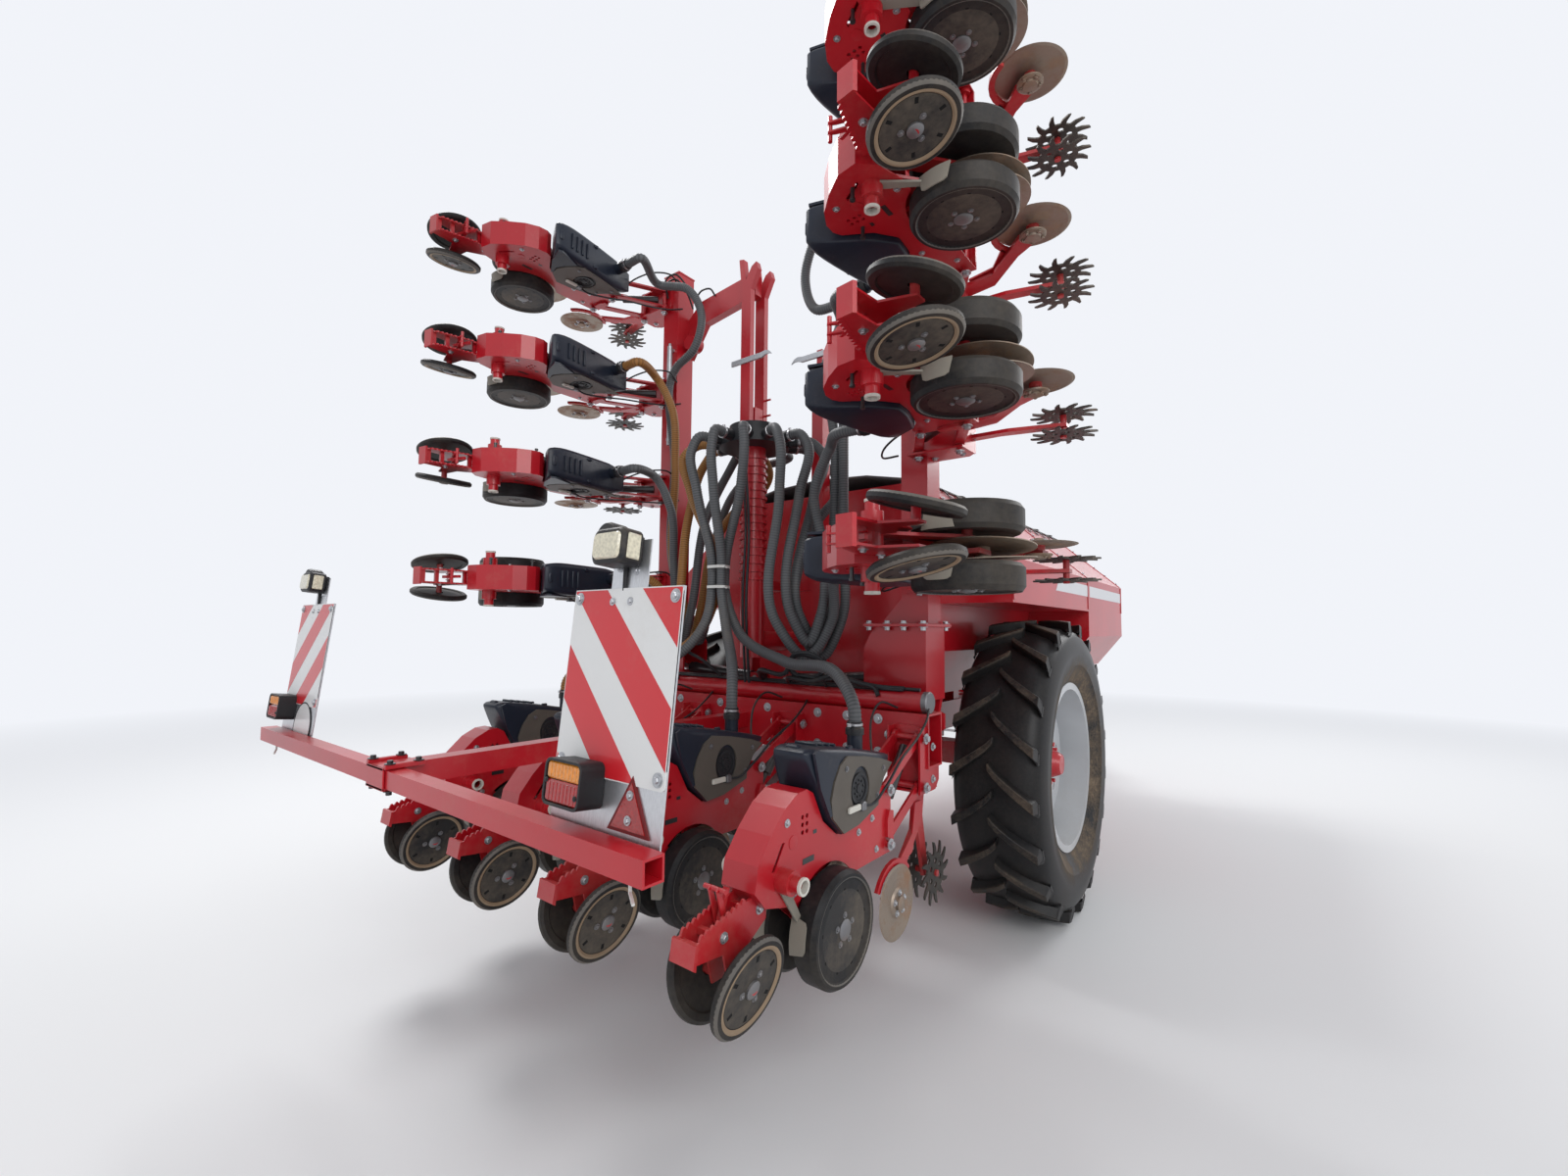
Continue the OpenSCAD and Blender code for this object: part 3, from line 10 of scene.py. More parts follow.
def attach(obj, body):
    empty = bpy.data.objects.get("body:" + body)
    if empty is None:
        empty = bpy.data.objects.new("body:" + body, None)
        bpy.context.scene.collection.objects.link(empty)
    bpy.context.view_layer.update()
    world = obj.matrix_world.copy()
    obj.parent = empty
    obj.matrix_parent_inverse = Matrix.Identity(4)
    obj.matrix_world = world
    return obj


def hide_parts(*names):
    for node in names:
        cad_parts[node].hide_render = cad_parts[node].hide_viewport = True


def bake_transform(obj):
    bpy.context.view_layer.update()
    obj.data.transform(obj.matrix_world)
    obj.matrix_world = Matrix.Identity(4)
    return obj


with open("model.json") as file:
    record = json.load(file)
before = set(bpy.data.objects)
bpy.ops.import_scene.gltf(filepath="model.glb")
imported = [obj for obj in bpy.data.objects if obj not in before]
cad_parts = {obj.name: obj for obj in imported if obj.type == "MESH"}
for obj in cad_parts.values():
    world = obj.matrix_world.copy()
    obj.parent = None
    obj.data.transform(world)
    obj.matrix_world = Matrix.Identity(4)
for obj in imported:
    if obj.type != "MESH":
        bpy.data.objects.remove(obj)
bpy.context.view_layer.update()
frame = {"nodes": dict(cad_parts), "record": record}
nodes = frame["nodes"]

# Driving sizes, the same as in the part's source
ROW_PITCH = 0.700
ROW_Y = -2.340
WING_ROW_Y = -2.095
ROW_Z = 1.305
HINGE_X = 0.980
HINGE_Z = 1.285
CENTRE_X0 = -1.5 * ROW_PITCH
WING_X0 = CENTRE_X0 + 4 * ROW_PITCH
TYRE_D = 1.840
TYRE_W = 0.520
RIM_D = 1.040
LUG_H = 0.052
LUG_COUNT = 20
HALF_TRACK = 1.190
AXLE = Vector((0, -0.750, TYRE_D / 2))
HOPPER_Y0, HOPPER_Y1 = -1.550, 1.590
HOPPER_HALF = 1.300
EAVE_Z = 2.180
MOUTH_HALF, MOUTH_Z = 0.740, 2.680
BODIES = {"centre": "chassis", "right": "wing_right", "left": "wing_left"}


# Camera at the photograph's place, from the lines of the picture
CAMERA_PLACE = (2.43, -5.08, 1.76)


def camera():
    yaw, pitch, roll = math.radians(37.7), math.radians(3.8), math.radians(0.5)
    focal_px, width_px, sensor = 645, 1600, 36
    forward = Vector((-math.sin(yaw) * math.cos(pitch), math.cos(yaw) * math.cos(pitch), math.sin(pitch)))
    right = Vector((math.cos(yaw), math.sin(yaw), 0))
    up = right.cross(forward)
    right_r = math.cos(roll) * right + math.sin(roll) * up
    up_r = math.cos(roll) * up - math.sin(roll) * right
    data = bpy.data.cameras.new("camera")
    data.sensor_width = sensor
    data.sensor_fit = "HORIZONTAL"
    data.lens = focal_px / width_px * sensor
    data.clip_end = 200
    cam = bpy.data.objects.new("camera", data)
    turn = Matrix((right_r, up_r, -forward)).transposed().to_4x4()
    cam.matrix_world = Matrix.Translation(CAMERA_PLACE) @ turn
    bpy.context.scene.collection.objects.link(cam)
    bpy.context.scene.camera = cam


# Node networks: sockets are linked, plain values are written into the socket
def put(tree, kind, *ordered, settings=None, out=0, **named):
    item = tree.nodes.new("ShaderNode" + kind)
    for key, value in (settings or {}).items():
        setattr(item, key, value)
    pairs = [(item.inputs[k], v) for k, v in enumerate(ordered)]
    pairs += [(item.inputs[k.replace("_", " ")], v) for k, v in named.items()]
    for socket, value in pairs:
        if isinstance(value, bpy.types.NodeSocket):
            tree.links.new(value, socket)
        elif value is not None:
            socket.default_value = value
    return item.outputs[out]


def calc(tree, operation, *values):
    return put(tree, "Math", *values, settings={"operation": operation})


def times(tree, a, b):
    return calc(tree, "MULTIPLY", a, b)


def plus(tree, a, b):
    return calc(tree, "ADD", a, b)


def spread(tree, value, low, high, to_low=0.0, to_high=1.0):
    return put(tree, "MapRange", value, low, high, to_low, to_high)


def rgb(colour):
    return (*colour, 1.0)


# Darker or brighter colour
def shade(colour, share, lift=0.0):
    return tuple(min(1.0, share * c + lift) for c in colour)


def mixed(tree, factor, a, b):
    item = tree.nodes.new("ShaderNodeMix")
    item.data_type = "RGBA"
    for socket, value in ((item.inputs[0], factor), (item.inputs[6], a), (item.inputs[7], b)):
        if isinstance(value, bpy.types.NodeSocket):
            tree.links.new(value, socket)
        elif isinstance(value, tuple):
            socket.default_value = value if len(value) == 4 else rgb(value)
        else:
            socket.default_value = value
    return item.outputs[2]


def noise(tree, place, scale, detail=4.0, rough=0.55, distortion=0.0):
    return put(tree, "TexNoise", Vector=place, Scale=scale, Detail=detail, Roughness=rough,
               Distortion=distortion)


def bump(tree, height, distance, strength=1.0, normal=None):
    return put(tree, "Bump", Strength=strength, Distance=distance, Height=height, Normal=normal)


def start(name):
    material = bpy.data.materials.new(name)
    material.use_nodes = True
    tree = material.node_tree
    shader = tree.nodes["Principled BSDF"]
    place = put(tree, "TexCoord", out=3)
    return material, tree, shader, place


def finish_with(tree, shader, **sockets):
    for name, value in sockets.items():
        socket = shader.inputs[name.replace("_", " ")]
        if isinstance(value, bpy.types.NodeSocket):
            tree.links.new(value, socket)
        else:
            socket.default_value = rgb(value) if isinstance(value, tuple) and len(value) == 3 else value


# Height over the ground with the wing folded out, which says where soil and dust gather
def working_height(tree, place, body):
    axes = put(tree, "SeparateXYZ", place, out=0).node.outputs
    if body == "wing_right":
        return calc(tree, "SUBTRACT", HINGE_X + HINGE_Z, axes[0])
    if body == "wing_left":
        return calc(tree, "ADD", HINGE_X + HINGE_Z, axes[0])
    return axes[2]


DUST = (0.36, 0.29, 0.21)


# Share of dust: broad patches, fine grains, more of it low down and on faces that look up
def dust_mask(tree, place, body, amount, low=0.35, high=1.05):
    height = working_height(tree, place, body)
    lowness = spread(tree, height, low, high, 1.0, 0.0)
    facing = put(tree, "SeparateXYZ", put(tree, "NewGeometry", out=1), out=2)
    broad = noise(tree, place, 2.6, 5.0, 0.6)
    fine = noise(tree, place, 38.0, 6.0, 0.7)
    total = times(tree, broad, 0.9)
    for part, share in ((fine, 0.45), (lowness, 0.32), (spread(tree, facing, 0.3, 1.0), 0.10)):
        total = plus(tree, total, times(tree, part, share))
    return times(tree, spread(tree, total, 0.74, 1.22), amount)


def paint(name, colour, body="chassis", rough=0.32, coat=0.22, dust=0.55):
    material, tree, shader, place = start(name)
    dirt = dust_mask(tree, place, body, dust)
    tone = noise(tree, place, 1.4, 3.0)
    base = mixed(tree, spread(tree, tone, 0.35, 0.65), shade(colour, 0.80), colour)
    scratches = spread(tree, noise(tree, place, 90.0, 8.0, 0.8, 1.5), 0.70, 0.78)
    base = mixed(tree, times(tree, scratches, 0.35), base, shade(colour, 0.45, 0.03))
    base = mixed(tree, dirt, base, DUST)
    roughness = spread(tree, dirt, 0.0, 0.8, rough, 0.78)
    grain = noise(tree, place, 420.0, 2.0)
    finish_with(tree, shader, Base_Color=base, Roughness=roughness, Coat_Weight=coat,
                Coat_Roughness=0.12, Normal=bump(tree, grain, 0.00018, 0.4))
    return material


def plastic(name, colour, body="chassis", rough=0.5, dust=0.4):
    material, tree, shader, place = start(name)
    dirt = dust_mask(tree, place, body, dust)
    tone = noise(tree, place, 5.0, 4.0)
    base = mixed(tree, tone, shade(colour, 0.75), shade(colour, 1.2))
    base = mixed(tree, dirt, base, DUST)
    grain = put(tree, "TexVoronoi", Vector=place, Scale=700.0)
    finish_with(tree, shader, Base_Color=base, Roughness=spread(tree, dirt, 0, 0.8, rough, 0.85),
                Specular_IOR_Level=0.3, Normal=bump(tree, grain, 0.0002, 0.35))
    return material


def rubber(name, colour, body="chassis", dust=0.5, rough=0.62):
    material, tree, shader, place = start(name)
    dirt = dust_mask(tree, place, body, dust)
    scuff = noise(tree, place, 16.0, 7.0, 0.75, 0.8)
    base = mixed(tree, spread(tree, scuff, 0.40, 0.80), colour, shade(colour, 1.7, 0.004))
    base = mixed(tree, dirt, base, DUST)
    pores = noise(tree, place, 260.0, 4.0)
    finish_with(tree, shader, Base_Color=base, Roughness=spread(tree, dirt, 0, 0.8, rough, 0.92),
                Specular_IOR_Level=0.22, Normal=bump(tree, pores, 0.0006, 0.4))
    return material


# Tyre rubber: black grooves, dusty lug tops and a soiled band beside the rim
def tyre_look(name):
    material, tree, shader, place = start(name)
    axes = put(tree, "SeparateXYZ", place, out=0).node.outputs
    dy = calc(tree, "SUBTRACT", axes[1], AXLE.y)
    dz = calc(tree, "SUBTRACT", axes[2], AXLE.z)
    radius = calc(tree, "SQRT", plus(tree, times(tree, dy, dy), times(tree, dz, dz)))
    broad = noise(tree, place, 5.0, 6.0, 0.65)
    fine = noise(tree, place, 60.0, 6.0, 0.75)
    speckle = spread(tree, plus(tree, times(tree, broad, 0.7), times(tree, fine, 0.5)), 0.50, 0.78)
    top = spread(tree, radius, TYRE_D / 2 - 0.020, TYRE_D / 2 - 0.008)
    bead = times(tree, spread(tree, radius, 0.70, 0.60), spread(tree, radius, 0.50, 0.54))
    dirt = times(tree, calc(tree, "MAXIMUM", times(tree, top, 0.36), bead), speckle)
    dirt = plus(tree, dirt, times(tree, speckle, 0.05))
    base = mixed(tree, fine, (0.006, 0.006, 0.007), (0.018, 0.018, 0.019))
    base = mixed(tree, dirt, base, (0.22, 0.165, 0.115))
    finish_with(tree, shader, Base_Color=base, Roughness=spread(tree, dirt, 0.0, 0.6, 0.40, 0.9),
                Specular_IOR_Level=0.25, Normal=bump(tree, fine, 0.0008, 0.4))
    return material


# Bare or rusty metal with brushed streaks, rust blots and soil
def metal(name, colour, body="chassis", rough=0.38, rust=0.0, dust=0.35, streak=(6.0, 60.0, 60.0)):
    material, tree, shader, place = start(name)
    dirt = dust_mask(tree, place, body, dust)
    stretched = put(tree, "Mapping", place, Scale=streak)
    lines = noise(tree, stretched, 9.0, 6.0, 0.7)
    base = mixed(tree, lines, shade(colour, 0.6), shade(colour, 1.25))
    blots = spread(tree, noise(tree, place, 7.0, 7.0, 0.72), 0.62 - 0.25 * rust, 0.78 - 0.25 * rust)
    blots = times(tree, blots, min(1.0, rust * 1.5))
    rusty = mixed(tree, noise(tree, place, 55.0, 5.0), (0.16, 0.06, 0.022), (0.33, 0.17, 0.08))
    base = mixed(tree, blots, base, rusty)
    base = mixed(tree, dirt, base, DUST)
    matt = calc(tree, "MAXIMUM", blots, dirt)
    finish_with(tree, shader, Base_Color=base, Metallic=spread(tree, matt, 0.0, 0.7, 0.9, 0.0),
                Roughness=spread(tree, matt, 0.0, 0.7, rough, 0.85),
                Normal=bump(tree, noise(tree, place, 120.0, 6.0), 0.0005, 0.35))
    return material


# Corrugated hose: the tube's second UV value counts its rings, and the grooves between them are darkened as
# painted shade
def hose_look(name, colour):
    material, tree, shader, place = start(name)
    along = put(tree, "SeparateXYZ", put(tree, "UVMap", settings={"uv_map": "rings"}), out=1)
    wave = calc(tree, "COSINE", times(tree, along, 2 * math.pi))
    dirt = dust_mask(tree, place, "chassis", 0.35)
    # Much darker in the grooves between the rings: painted shade
    groove = spread(tree, wave, -1.0, 0.3)
    base = mixed(tree, groove, shade(colour, 0.25), colour)
    base = mixed(tree, noise(tree, place, 6.0), base, shade(colour, 0.8))
    base = mixed(tree, dirt, base, DUST)
    finish_with(tree, shader, Base_Color=base, Roughness=0.5, Specular_IOR_Level=0.3)
    return material


def lens(name, colour):
    material, tree, shader, place = start(name)
    cells = put(tree, "TexVoronoi", Vector=place, Scale=120.0)
    base = mixed(tree, cells, shade(colour, 0.65), colour)
    finish_with(tree, shader, Base_Color=base, Roughness=0.12, Coat_Weight=0.6,
                Normal=bump(tree, cells, 0.0012, 0.5))
    return material


def fabric(name, colour):
    material, tree, shader, place = start(name)
    warp = put(tree, "TexWave", Vector=place, Scale=240.0, Distortion=0.6, settings={"bands_direction": "X"})
    weft = put(tree, "TexWave", Vector=place, Scale=240.0, Distortion=0.6, settings={"bands_direction": "Y"})
    weave = calc(tree, "MAXIMUM", warp, weft)
    folds = noise(tree, put(tree, "Mapping", place, Scale=(1.2, 5.0, 3.0)), 1.6, 4.0, 0.5, 0.4)
    dirt = dust_mask(tree, place, "chassis", 0.45, 2.2, 3.2)
    # Lighter on the folds' crests and darker in their hollows: painted light and shade
    base = mixed(tree, folds, shade(colour, 0.7), shade(colour, 1.3))
    base = mixed(tree, dirt, base, DUST)
    first = bump(tree, folds, 0.012, 0.6)
    finish_with(tree, shader, Base_Color=base, Roughness=0.58, Sheen_Weight=0.15,
                Normal=bump(tree, weave, 0.0003, 0.35, first))
    return material


# One look per material slot, made for the body that it sits on
RED = (0.50, 0.008, 0.017)
LOOKS = {
    "red_paint": lambda n, b: paint(n, RED, b, dust=0.30),
    "black_plastic": lambda n, b: plastic(n, (0.020, 0.021, 0.024), b, 0.42),
    "meter_plastic": lambda n, b: plastic(n, (0.016, 0.021, 0.034), b, 0.34, 0.22),
    "press_rubber": lambda n, b: rubber(n, (0.010, 0.010, 0.011), b, 0.16, 0.50),
    "disc_steel": lambda n, b: metal(n, (0.33, 0.27, 0.22), b, 0.42, 0.50, 0.45),
    "finger_steel": lambda n, b: metal(n, (0.055, 0.053, 0.052), b, 0.45, 0.18, 0.30),
    "bare_steel": lambda n, b: metal(n, (0.46, 0.46, 0.47), b, 0.34, 0.10, 0.20),
    "cast_grey": lambda n, b: metal(n, (0.24, 0.24, 0.25), b, 0.50, 0.22, 0.25),
    "tarp": lambda n, b: fabric(n, (0.050, 0.054, 0.060)),
    "galvanised": lambda n, b: metal(n, (0.50, 0.51, 0.53), b, 0.42, 0.05, 0.25, (8.0, 8.0, 8.0)),
    "fan_black": lambda n, b: paint(n, (0.022, 0.022, 0.024), b, 0.38, 0.2, 0.35),
    "hose_grey": lambda n, b: hose_look(n, (0.125, 0.130, 0.136)),
    "board_aluminium": lambda n, b: metal(n, (0.66, 0.67, 0.69), b, 0.36, 0.0, 0.16, (40.0, 6.0, 6.0)),
    "lamp_lens": lambda n, b: lens(n, (0.60, 0.16, 0.02)),
    "lamp_black": lambda n, b: plastic(n, (0.018, 0.018, 0.020), b, 0.45),
    "cylinder_black": lambda n, b: paint(n, (0.020, 0.020, 0.022), b, 0.30, 0.3, 0.30),
    "rod_chrome": lambda n, b: metal(n, (0.78, 0.78, 0.80), b, 0.12, 0.0, 0.06),
    "tyre_rubber": lambda n, b: tyre_look(n),
    "rim_silver": lambda n, b: paint(n, (0.56, 0.58, 0.60), b, 0.34, 0.25, 0.22),
}
made = {}


def look(slot, body="chassis"):
    body = body if body.startswith("wing") else "chassis"
    key = f"{slot}_{body}"
    if key not in made:
        made[key] = LOOKS[slot](key, body)
    return made[key]


def extra(name, maker, *args, **more):
    if name not in made:
        made[name] = maker(name, *args, **more)
    return made[name]


def dress_nodes():
    bodies = {n: b for b, members in frame["record"]["behaviour"]["bodies"].items() for n in members}
    for part in frame["record"]["subparts"]:
        item = nodes[part["node"]]
        material = look(part["material_slot"], bodies[part["node"]])
        for slot in item.material_slots:
            slot.material = material
        item.data.shade_smooth()
        item.data.set_sharp_from_angle(angle=math.radians(32))


# Where the row units stand, as matrices from the row's own frame
def folded(side):
    there = Matrix.Translation((side * HINGE_X, 0, HINGE_Z))
    return there @ Matrix.Rotation(math.radians(-90 * side), 4, "Y") @ there.inverted()


def row_places(group):
    if group == "centre":
        return [Matrix.Translation((CENTRE_X0 + i * ROW_PITCH, ROW_Y, ROW_Z)) for i in range(4)]
    side = 1 if group == "right" else -1
    return [folded(side) @ Matrix.Translation((side * (WING_X0 + i * ROW_PITCH), WING_ROW_Y, ROW_Z))
            for i in range(4)]


# A mesh that is put together from simple closed forms
class Form:
    def __init__(self):
        self.points = []
        self.faces = []
        self.smooth = 30

    def add(self, points, faces):
        base = len(self.points)
        self.points += [Vector(p) for p in points]
        self.faces += [tuple(base + i for i in f) for f in faces]
        return self

    # Rings joined one after another, with a cap at both ends or closed into a loop
    def stack(self, rings, closed=False):
        n, m = len(rings[0]), len(rings)
        faces = [(k * n + i, k * n + (i + 1) % n, (k + 1) % m * n + (i + 1) % n, (k + 1) % m * n + i)
                 for k in range(m if closed else m - 1) for i in range(n)]
        if not closed:
            faces += [tuple(range(n - 1, -1, -1)), tuple((m - 1) * n + i for i in range(n))]
        return self.add([p for ring in rings for p in ring], faces)

    def block(self, low, high, chamfer=0.0):
        (x0, y0, z0), (x1, y1, z1) = low, high
        c = min(chamfer, (x1 - x0) / 2.01, (y1 - y0) / 2.01, (z1 - z0) / 2.01)
        if c:
            ring = [(x0 + c, y0), (x1 - c, y0), (x1, y0 + c), (x1, y1 - c),
                    (x1 - c, y1), (x0 + c, y1), (x0, y1 - c), (x0, y0 + c)]
            mx, my = (x0 + x1) / 2, (y0 + y1) / 2
            inner = [(x + (c if x < mx else -c), y + (c if y < my else -c)) for x, y in ring]
            layers = [(inner, z0), (ring, z0 + c), (ring, z1 - c), (inner, z1)]
        else:
            ring = [(x0, y0), (x1, y0), (x1, y1), (x0, y1)]
            layers = [(ring, z0), (ring, z1)]
        return self.stack([[(x, y, z) for x, y in points] for points, z in layers])

    # Block given for the right side, made on either side
    def side_block(self, side, low, high, chamfer=0.0):
        x0, x1 = sorted((side * low[0], side * high[0]))
        return self.block((x0, *low[1:]), (x1, *high[1:]), chamfer)

    # Turned shape: profile of (radius, distance along the axis), closed on itself or capped
    def turned(self, origin, axis, profile, sides=24, closed=False):
        origin, axis = Vector(origin), Vector(axis).normalized()
        u = axis.orthogonal().normalized()
        v = axis.cross(u)
        turns = [2 * math.pi * k / sides for k in range(sides)]
        ways = [math.cos(a) * u + math.sin(a) * v for a in turns]
        rings = [[origin + axis * h + r * way for way in ways] for r, h in profile]
        return self.stack(rings, closed)

    def rod(self, start_point, end_point, radius, sides=12):
        a, b = Vector(start_point), Vector(end_point)
        return self.turned(a, b - a, [(radius, 0), (radius, (b - a).length)], sides)

    # Hexagon head on a washer, standing out along the axis
    def bolt(self, origin, axis, across=0.024, height=0.010):
        origin, axis = Vector(origin), Vector(axis).normalized()
        self.turned(origin, axis, [(across * 0.95, 0), (across * 0.95, 0.0025), (across * 0.55, 0.0027)], 20)
        r = across / math.sqrt(3)
        self.turned(origin, axis, [(r, 0.002), (r, height), (r * 0.86, height + 0.0015)], 6)
        return self

    # Bolts in a circle about a line across the machine, their heads towards the given side
    def bolt_circle(self, centre, radius, count, side, across, height, turn=0.0):
        x, y, z = centre
        for k in range(count):
            a = turn + 2 * math.pi * k / count
            self.bolt((x, y + radius * math.sin(a), z + radius * math.cos(a)), (side, 0, 0), across, height)
        return self

    # Plate from a profile in the side view, standing from w0 to w1 across
    def side_plate(self, profile, w0, w1):
        return self.stack([[(w, y, z) for y, z in profile] for w in (w0, w1)])

    # Plate from a profile in the rear view, standing from y0 to y1
    def rear_plate(self, profile, y0, y1):
        return self.stack([[(x, y, z) for x, z in profile] for y in (y0, y1)])

    # Copy of the form at each place
    def placed(self, places):
        out = Form()
        for m in places:
            out.add([m @ p for p in self.points], self.faces)
        out.smooth = self.smooth
        return out

    # The form as an object that rides on a body, in the slot's own look unless another is given
    def piece(self, name, body, slot, material=None, bevel=0.0):
        mesh = bpy.data.meshes.new(name)
        mesh.from_pydata([tuple(p) for p in self.points], [], self.faces)
        work = bmesh.new()
        work.from_mesh(mesh)
        bmesh.ops.recalc_face_normals(work, faces=work.faces)
        work.to_mesh(mesh)
        work.free()
        mesh.materials.append(material or look(slot, body))
        item = bpy.data.objects.new(name, mesh)
        bpy.context.scene.collection.objects.link(item)
        if bevel:
            tool = item.modifiers.new("bevel", "BEVEL")
            tool.width = bevel
            tool.segments = 2
            tool.limit_method = "ANGLE"
            tool.angle_limit = math.radians(35)
        mesh.shade_smooth()
        mesh.set_sharp_from_angle(angle=math.radians(self.smooth))
        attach(item, body)
        return item


def mm(*points):
    return [tuple(v / 1000 for v in p) for p in points]


# Smooth line through given points, the same rule as in the part's source
def smooth_line(points, steps):
    p = [Vector(q) for q in points]

    def slope(k):
        if k == 0:
            return (p[1] - p[0]).normalized()
        if k == len(p) - 1:
            return (p[k] - p[k - 1]).normalized()
        a, b = (p[k] - p[k - 1]).length, (p[k + 1] - p[k]).length
        return ((p[k] - p[k - 1]).normalized() * b + (p[k + 1] - p[k]).normalized() * a) / (a + b)

    line = []
    for k in range(len(p) - 1):
        length = (p[k + 1] - p[k]).length
        for j in range(steps):
            t = j / steps
            line.append((2 * t**3 - 3 * t**2 + 1) * p[k] + (t**3 - 2 * t**2 + t) * length * slope(k)
                        + (3 * t**2 - 2 * t**3) * p[k + 1] + (t**3 - t**2) * length * slope(k + 1))
    line.append(p[-1])
    return line


# Tube with a UV map whose second value counts pairs of stations, which are the rings of a corrugated hose
def tube(name, lines, radius, body, slot, material=None, sides=12, groove=0.0):
    points, faces, uvs = [], [], []
    for line in lines:
        base = len(points)
        n = len(line)
        heads = [(line[min(k + 1, n - 1)] - line[max(k - 1, 0)]).normalized() for k in range(n)]
        u = heads[0].orthogonal().normalized()
        for k in range(n):
            u = (u - u.dot(heads[k]) * heads[k]).normalized()
            v = heads[k].cross(u)
            for j in range(sides):
                a = 2 * math.pi * j / sides
                points.append(line[k] + (radius - groove * (k % 2)) * (math.cos(a) * u + math.sin(a) * v))
        for k in range(n - 1):
            here, there = base + k * sides, base + (k + 1) * sides
            for j in range(sides):
                i = (j + 1) % sides
                faces.append((here + j, here + i, there + i, there + j))
                low, high = j / sides, (j + 1) / sides
                uvs.append([(low, k / 2), (high, k / 2), (high, k / 2 + 0.5), (low, k / 2 + 0.5)])
        for k, order in ((0, range(sides - 1, -1, -1)), (n - 1, range(sides))):
            faces.append(tuple(base + k * sides + j for j in order))
            uvs.append([(0.0, 0.0)] * sides)
    mesh = bpy.data.meshes.new(name)
    mesh.from_pydata([tuple(p) for p in points], [], faces)
    layer = mesh.uv_layers.new(name="rings")
    for k, uv in enumerate(uv for corner in uvs for uv in corner):
        layer.data[k].uv = uv
    mesh.materials.append(material or look(slot, body))
    mesh.shade_smooth()
    mesh.set_sharp_from_angle(angle=math.radians(50))
    item = bpy.data.objects.new(name, mesh)
    bpy.context.scene.collection.objects.link(item)
    if body:
        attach(item, body)
    return item


# Floor that fades into the pale backdrop
FLOOR_HALF = 60
FADE = (5.0, 16.0)
BACKDROP, BACKDROP_STRENGTH = (0.93, 0.95, 1.0), 0.95


def studio_floor():
    material, tree, shader, place = start("floor")
    finish_with(tree, shader, Base_Color=(0.78, 0.785, 0.79), Roughness=0.9)
    far = put(tree, "VectorMath", place, settings={"operation": "LENGTH"}, out=1)
    glow = put(tree, "Emission", rgb(BACKDROP), BACKDROP_STRENGTH)
    blend = put(tree, "MixShader", spread(tree, far, *FADE), shader.outputs[0], glow)
    tree.links.new(blend, tree.nodes["Material Output"].inputs["Surface"])
    corners = [(x * FLOOR_HALF, y * FLOOR_HALF, 0) for x, y in ((-1, -1), (1, -1), (1, 1), (-1, 1))]
    mesh = bpy.data.meshes.new("floor")
    mesh.from_pydata(corners, [], [(0, 1, 2, 3)])
    mesh.materials.append(material)
    floor = bpy.data.objects.new("floor", mesh)
    bpy.context.scene.collection.objects.link(floor)


# World light and soft lamps: place, size and power
WORLD_STRENGTH = 0.55
LAMP_AIM = Vector((0, -0.6, 1.6))
LAMPS = {
    "key": ((-6.5, -2.0, 10.5), 4.0, 760),
    "front": ((7.5, -7.0, 6.0), 5.0, 330),
    "rear": ((4.0, 9.0, 8.0), 5.0, 380),
}


def studio_light():
    world = bpy.data.worlds.new("studio")
    bpy.context.scene.world = world
    world.use_nodes = True
    tree = world.node_tree
    background = tree.nodes["Background"]
    paths = put(tree, "LightPath", out=0).node.outputs
    shown = calc(tree, "MAXIMUM", paths["Is Camera Ray"], paths["Is Glossy Ray"])
    shown = calc(tree, "MAXIMUM", shown, paths["Is Transmission Ray"])
    strength = spread(tree, shown, 0.0, 1.0, WORLD_STRENGTH, BACKDROP_STRENGTH)
    tree.links.new(strength, background.inputs["Strength"])
    background.inputs["Color"].default_value = rgb(BACKDROP)
    for name, (place, size, power) in LAMPS.items():
        data = bpy.data.lights.new(name, "AREA")
        data.size = size
        data.energy = power
        lamp = bpy.data.objects.new(name, data)
        turn = (LAMP_AIM - Vector(place)).to_track_quat("-Z", "Y").to_matrix().to_4x4()
        lamp.matrix_world = Matrix.Translation(place) @ turn
        bpy.context.scene.collection.objects.link(lamp)
    bpy.context.scene.view_settings.view_transform = "Standard"


# Tyre casing with ribs on the sidewall, from the rim outwards on the right side
TYRE_R, TYRE_HALF, RIM_R = TYRE_D / 2, TYRE_W / 2, RIM_D / 2
CASING_R = TYRE_R - LUG_H
BEAD_R, BEAD_X = RIM_R - 0.0297, TYRE_HALF - 0.0703


def tyre_casing():
    side = [(BEAD_R + 0.004, BEAD_X), (RIM_R + 0.012, BEAD_X + 0.006), (RIM_R + 0.030, BEAD_X + 0.018)]
    ribs = mm((75, 28), (110, 14), (114, 9), (124, 9), (128, 10), (190, 2))
    side += [(RIM_R + up, TYRE_HALF - inset) for up, inset in ribs]
    shoulder = mm((130, 4), (62, 18), (30, 40), (6, 85))
    side += [(CASING_R - down, TYRE_HALF - inset) for down, inset in shoulder]
    side.append((CASING_R + 0.002, TYRE_HALF * 0.35))
    crown = (CASING_R - 0.055, 0.0)
    inside = [(CASING_R - 0.070, TYRE_HALF - 0.110), (RIM_R + 0.180, TYRE_HALF - 0.034),
              (RIM_R + 0.050, TYRE_HALF - 0.062), (BEAD_R - 0.002, BEAD_X - 0.030)]
    outer_loop = side + [(r, -h) for r, h in reversed(side)]
    inner_loop = [(r, -h) for r, h in reversed(inside)] + [crown] + inside
    return Form().turned((0, 0, 0), (1, 0, 0), outer_loop + inner_loop, 96, closed=True)


def on_tyre(x, along, r, turn):
    angle = along / TYRE_R + turn
    return (x, r * math.sin(angle), r * math.cos(angle))


# Curved lug that starts near the middle, widens and runs down the shoulder
LUG_STATIONS = 9


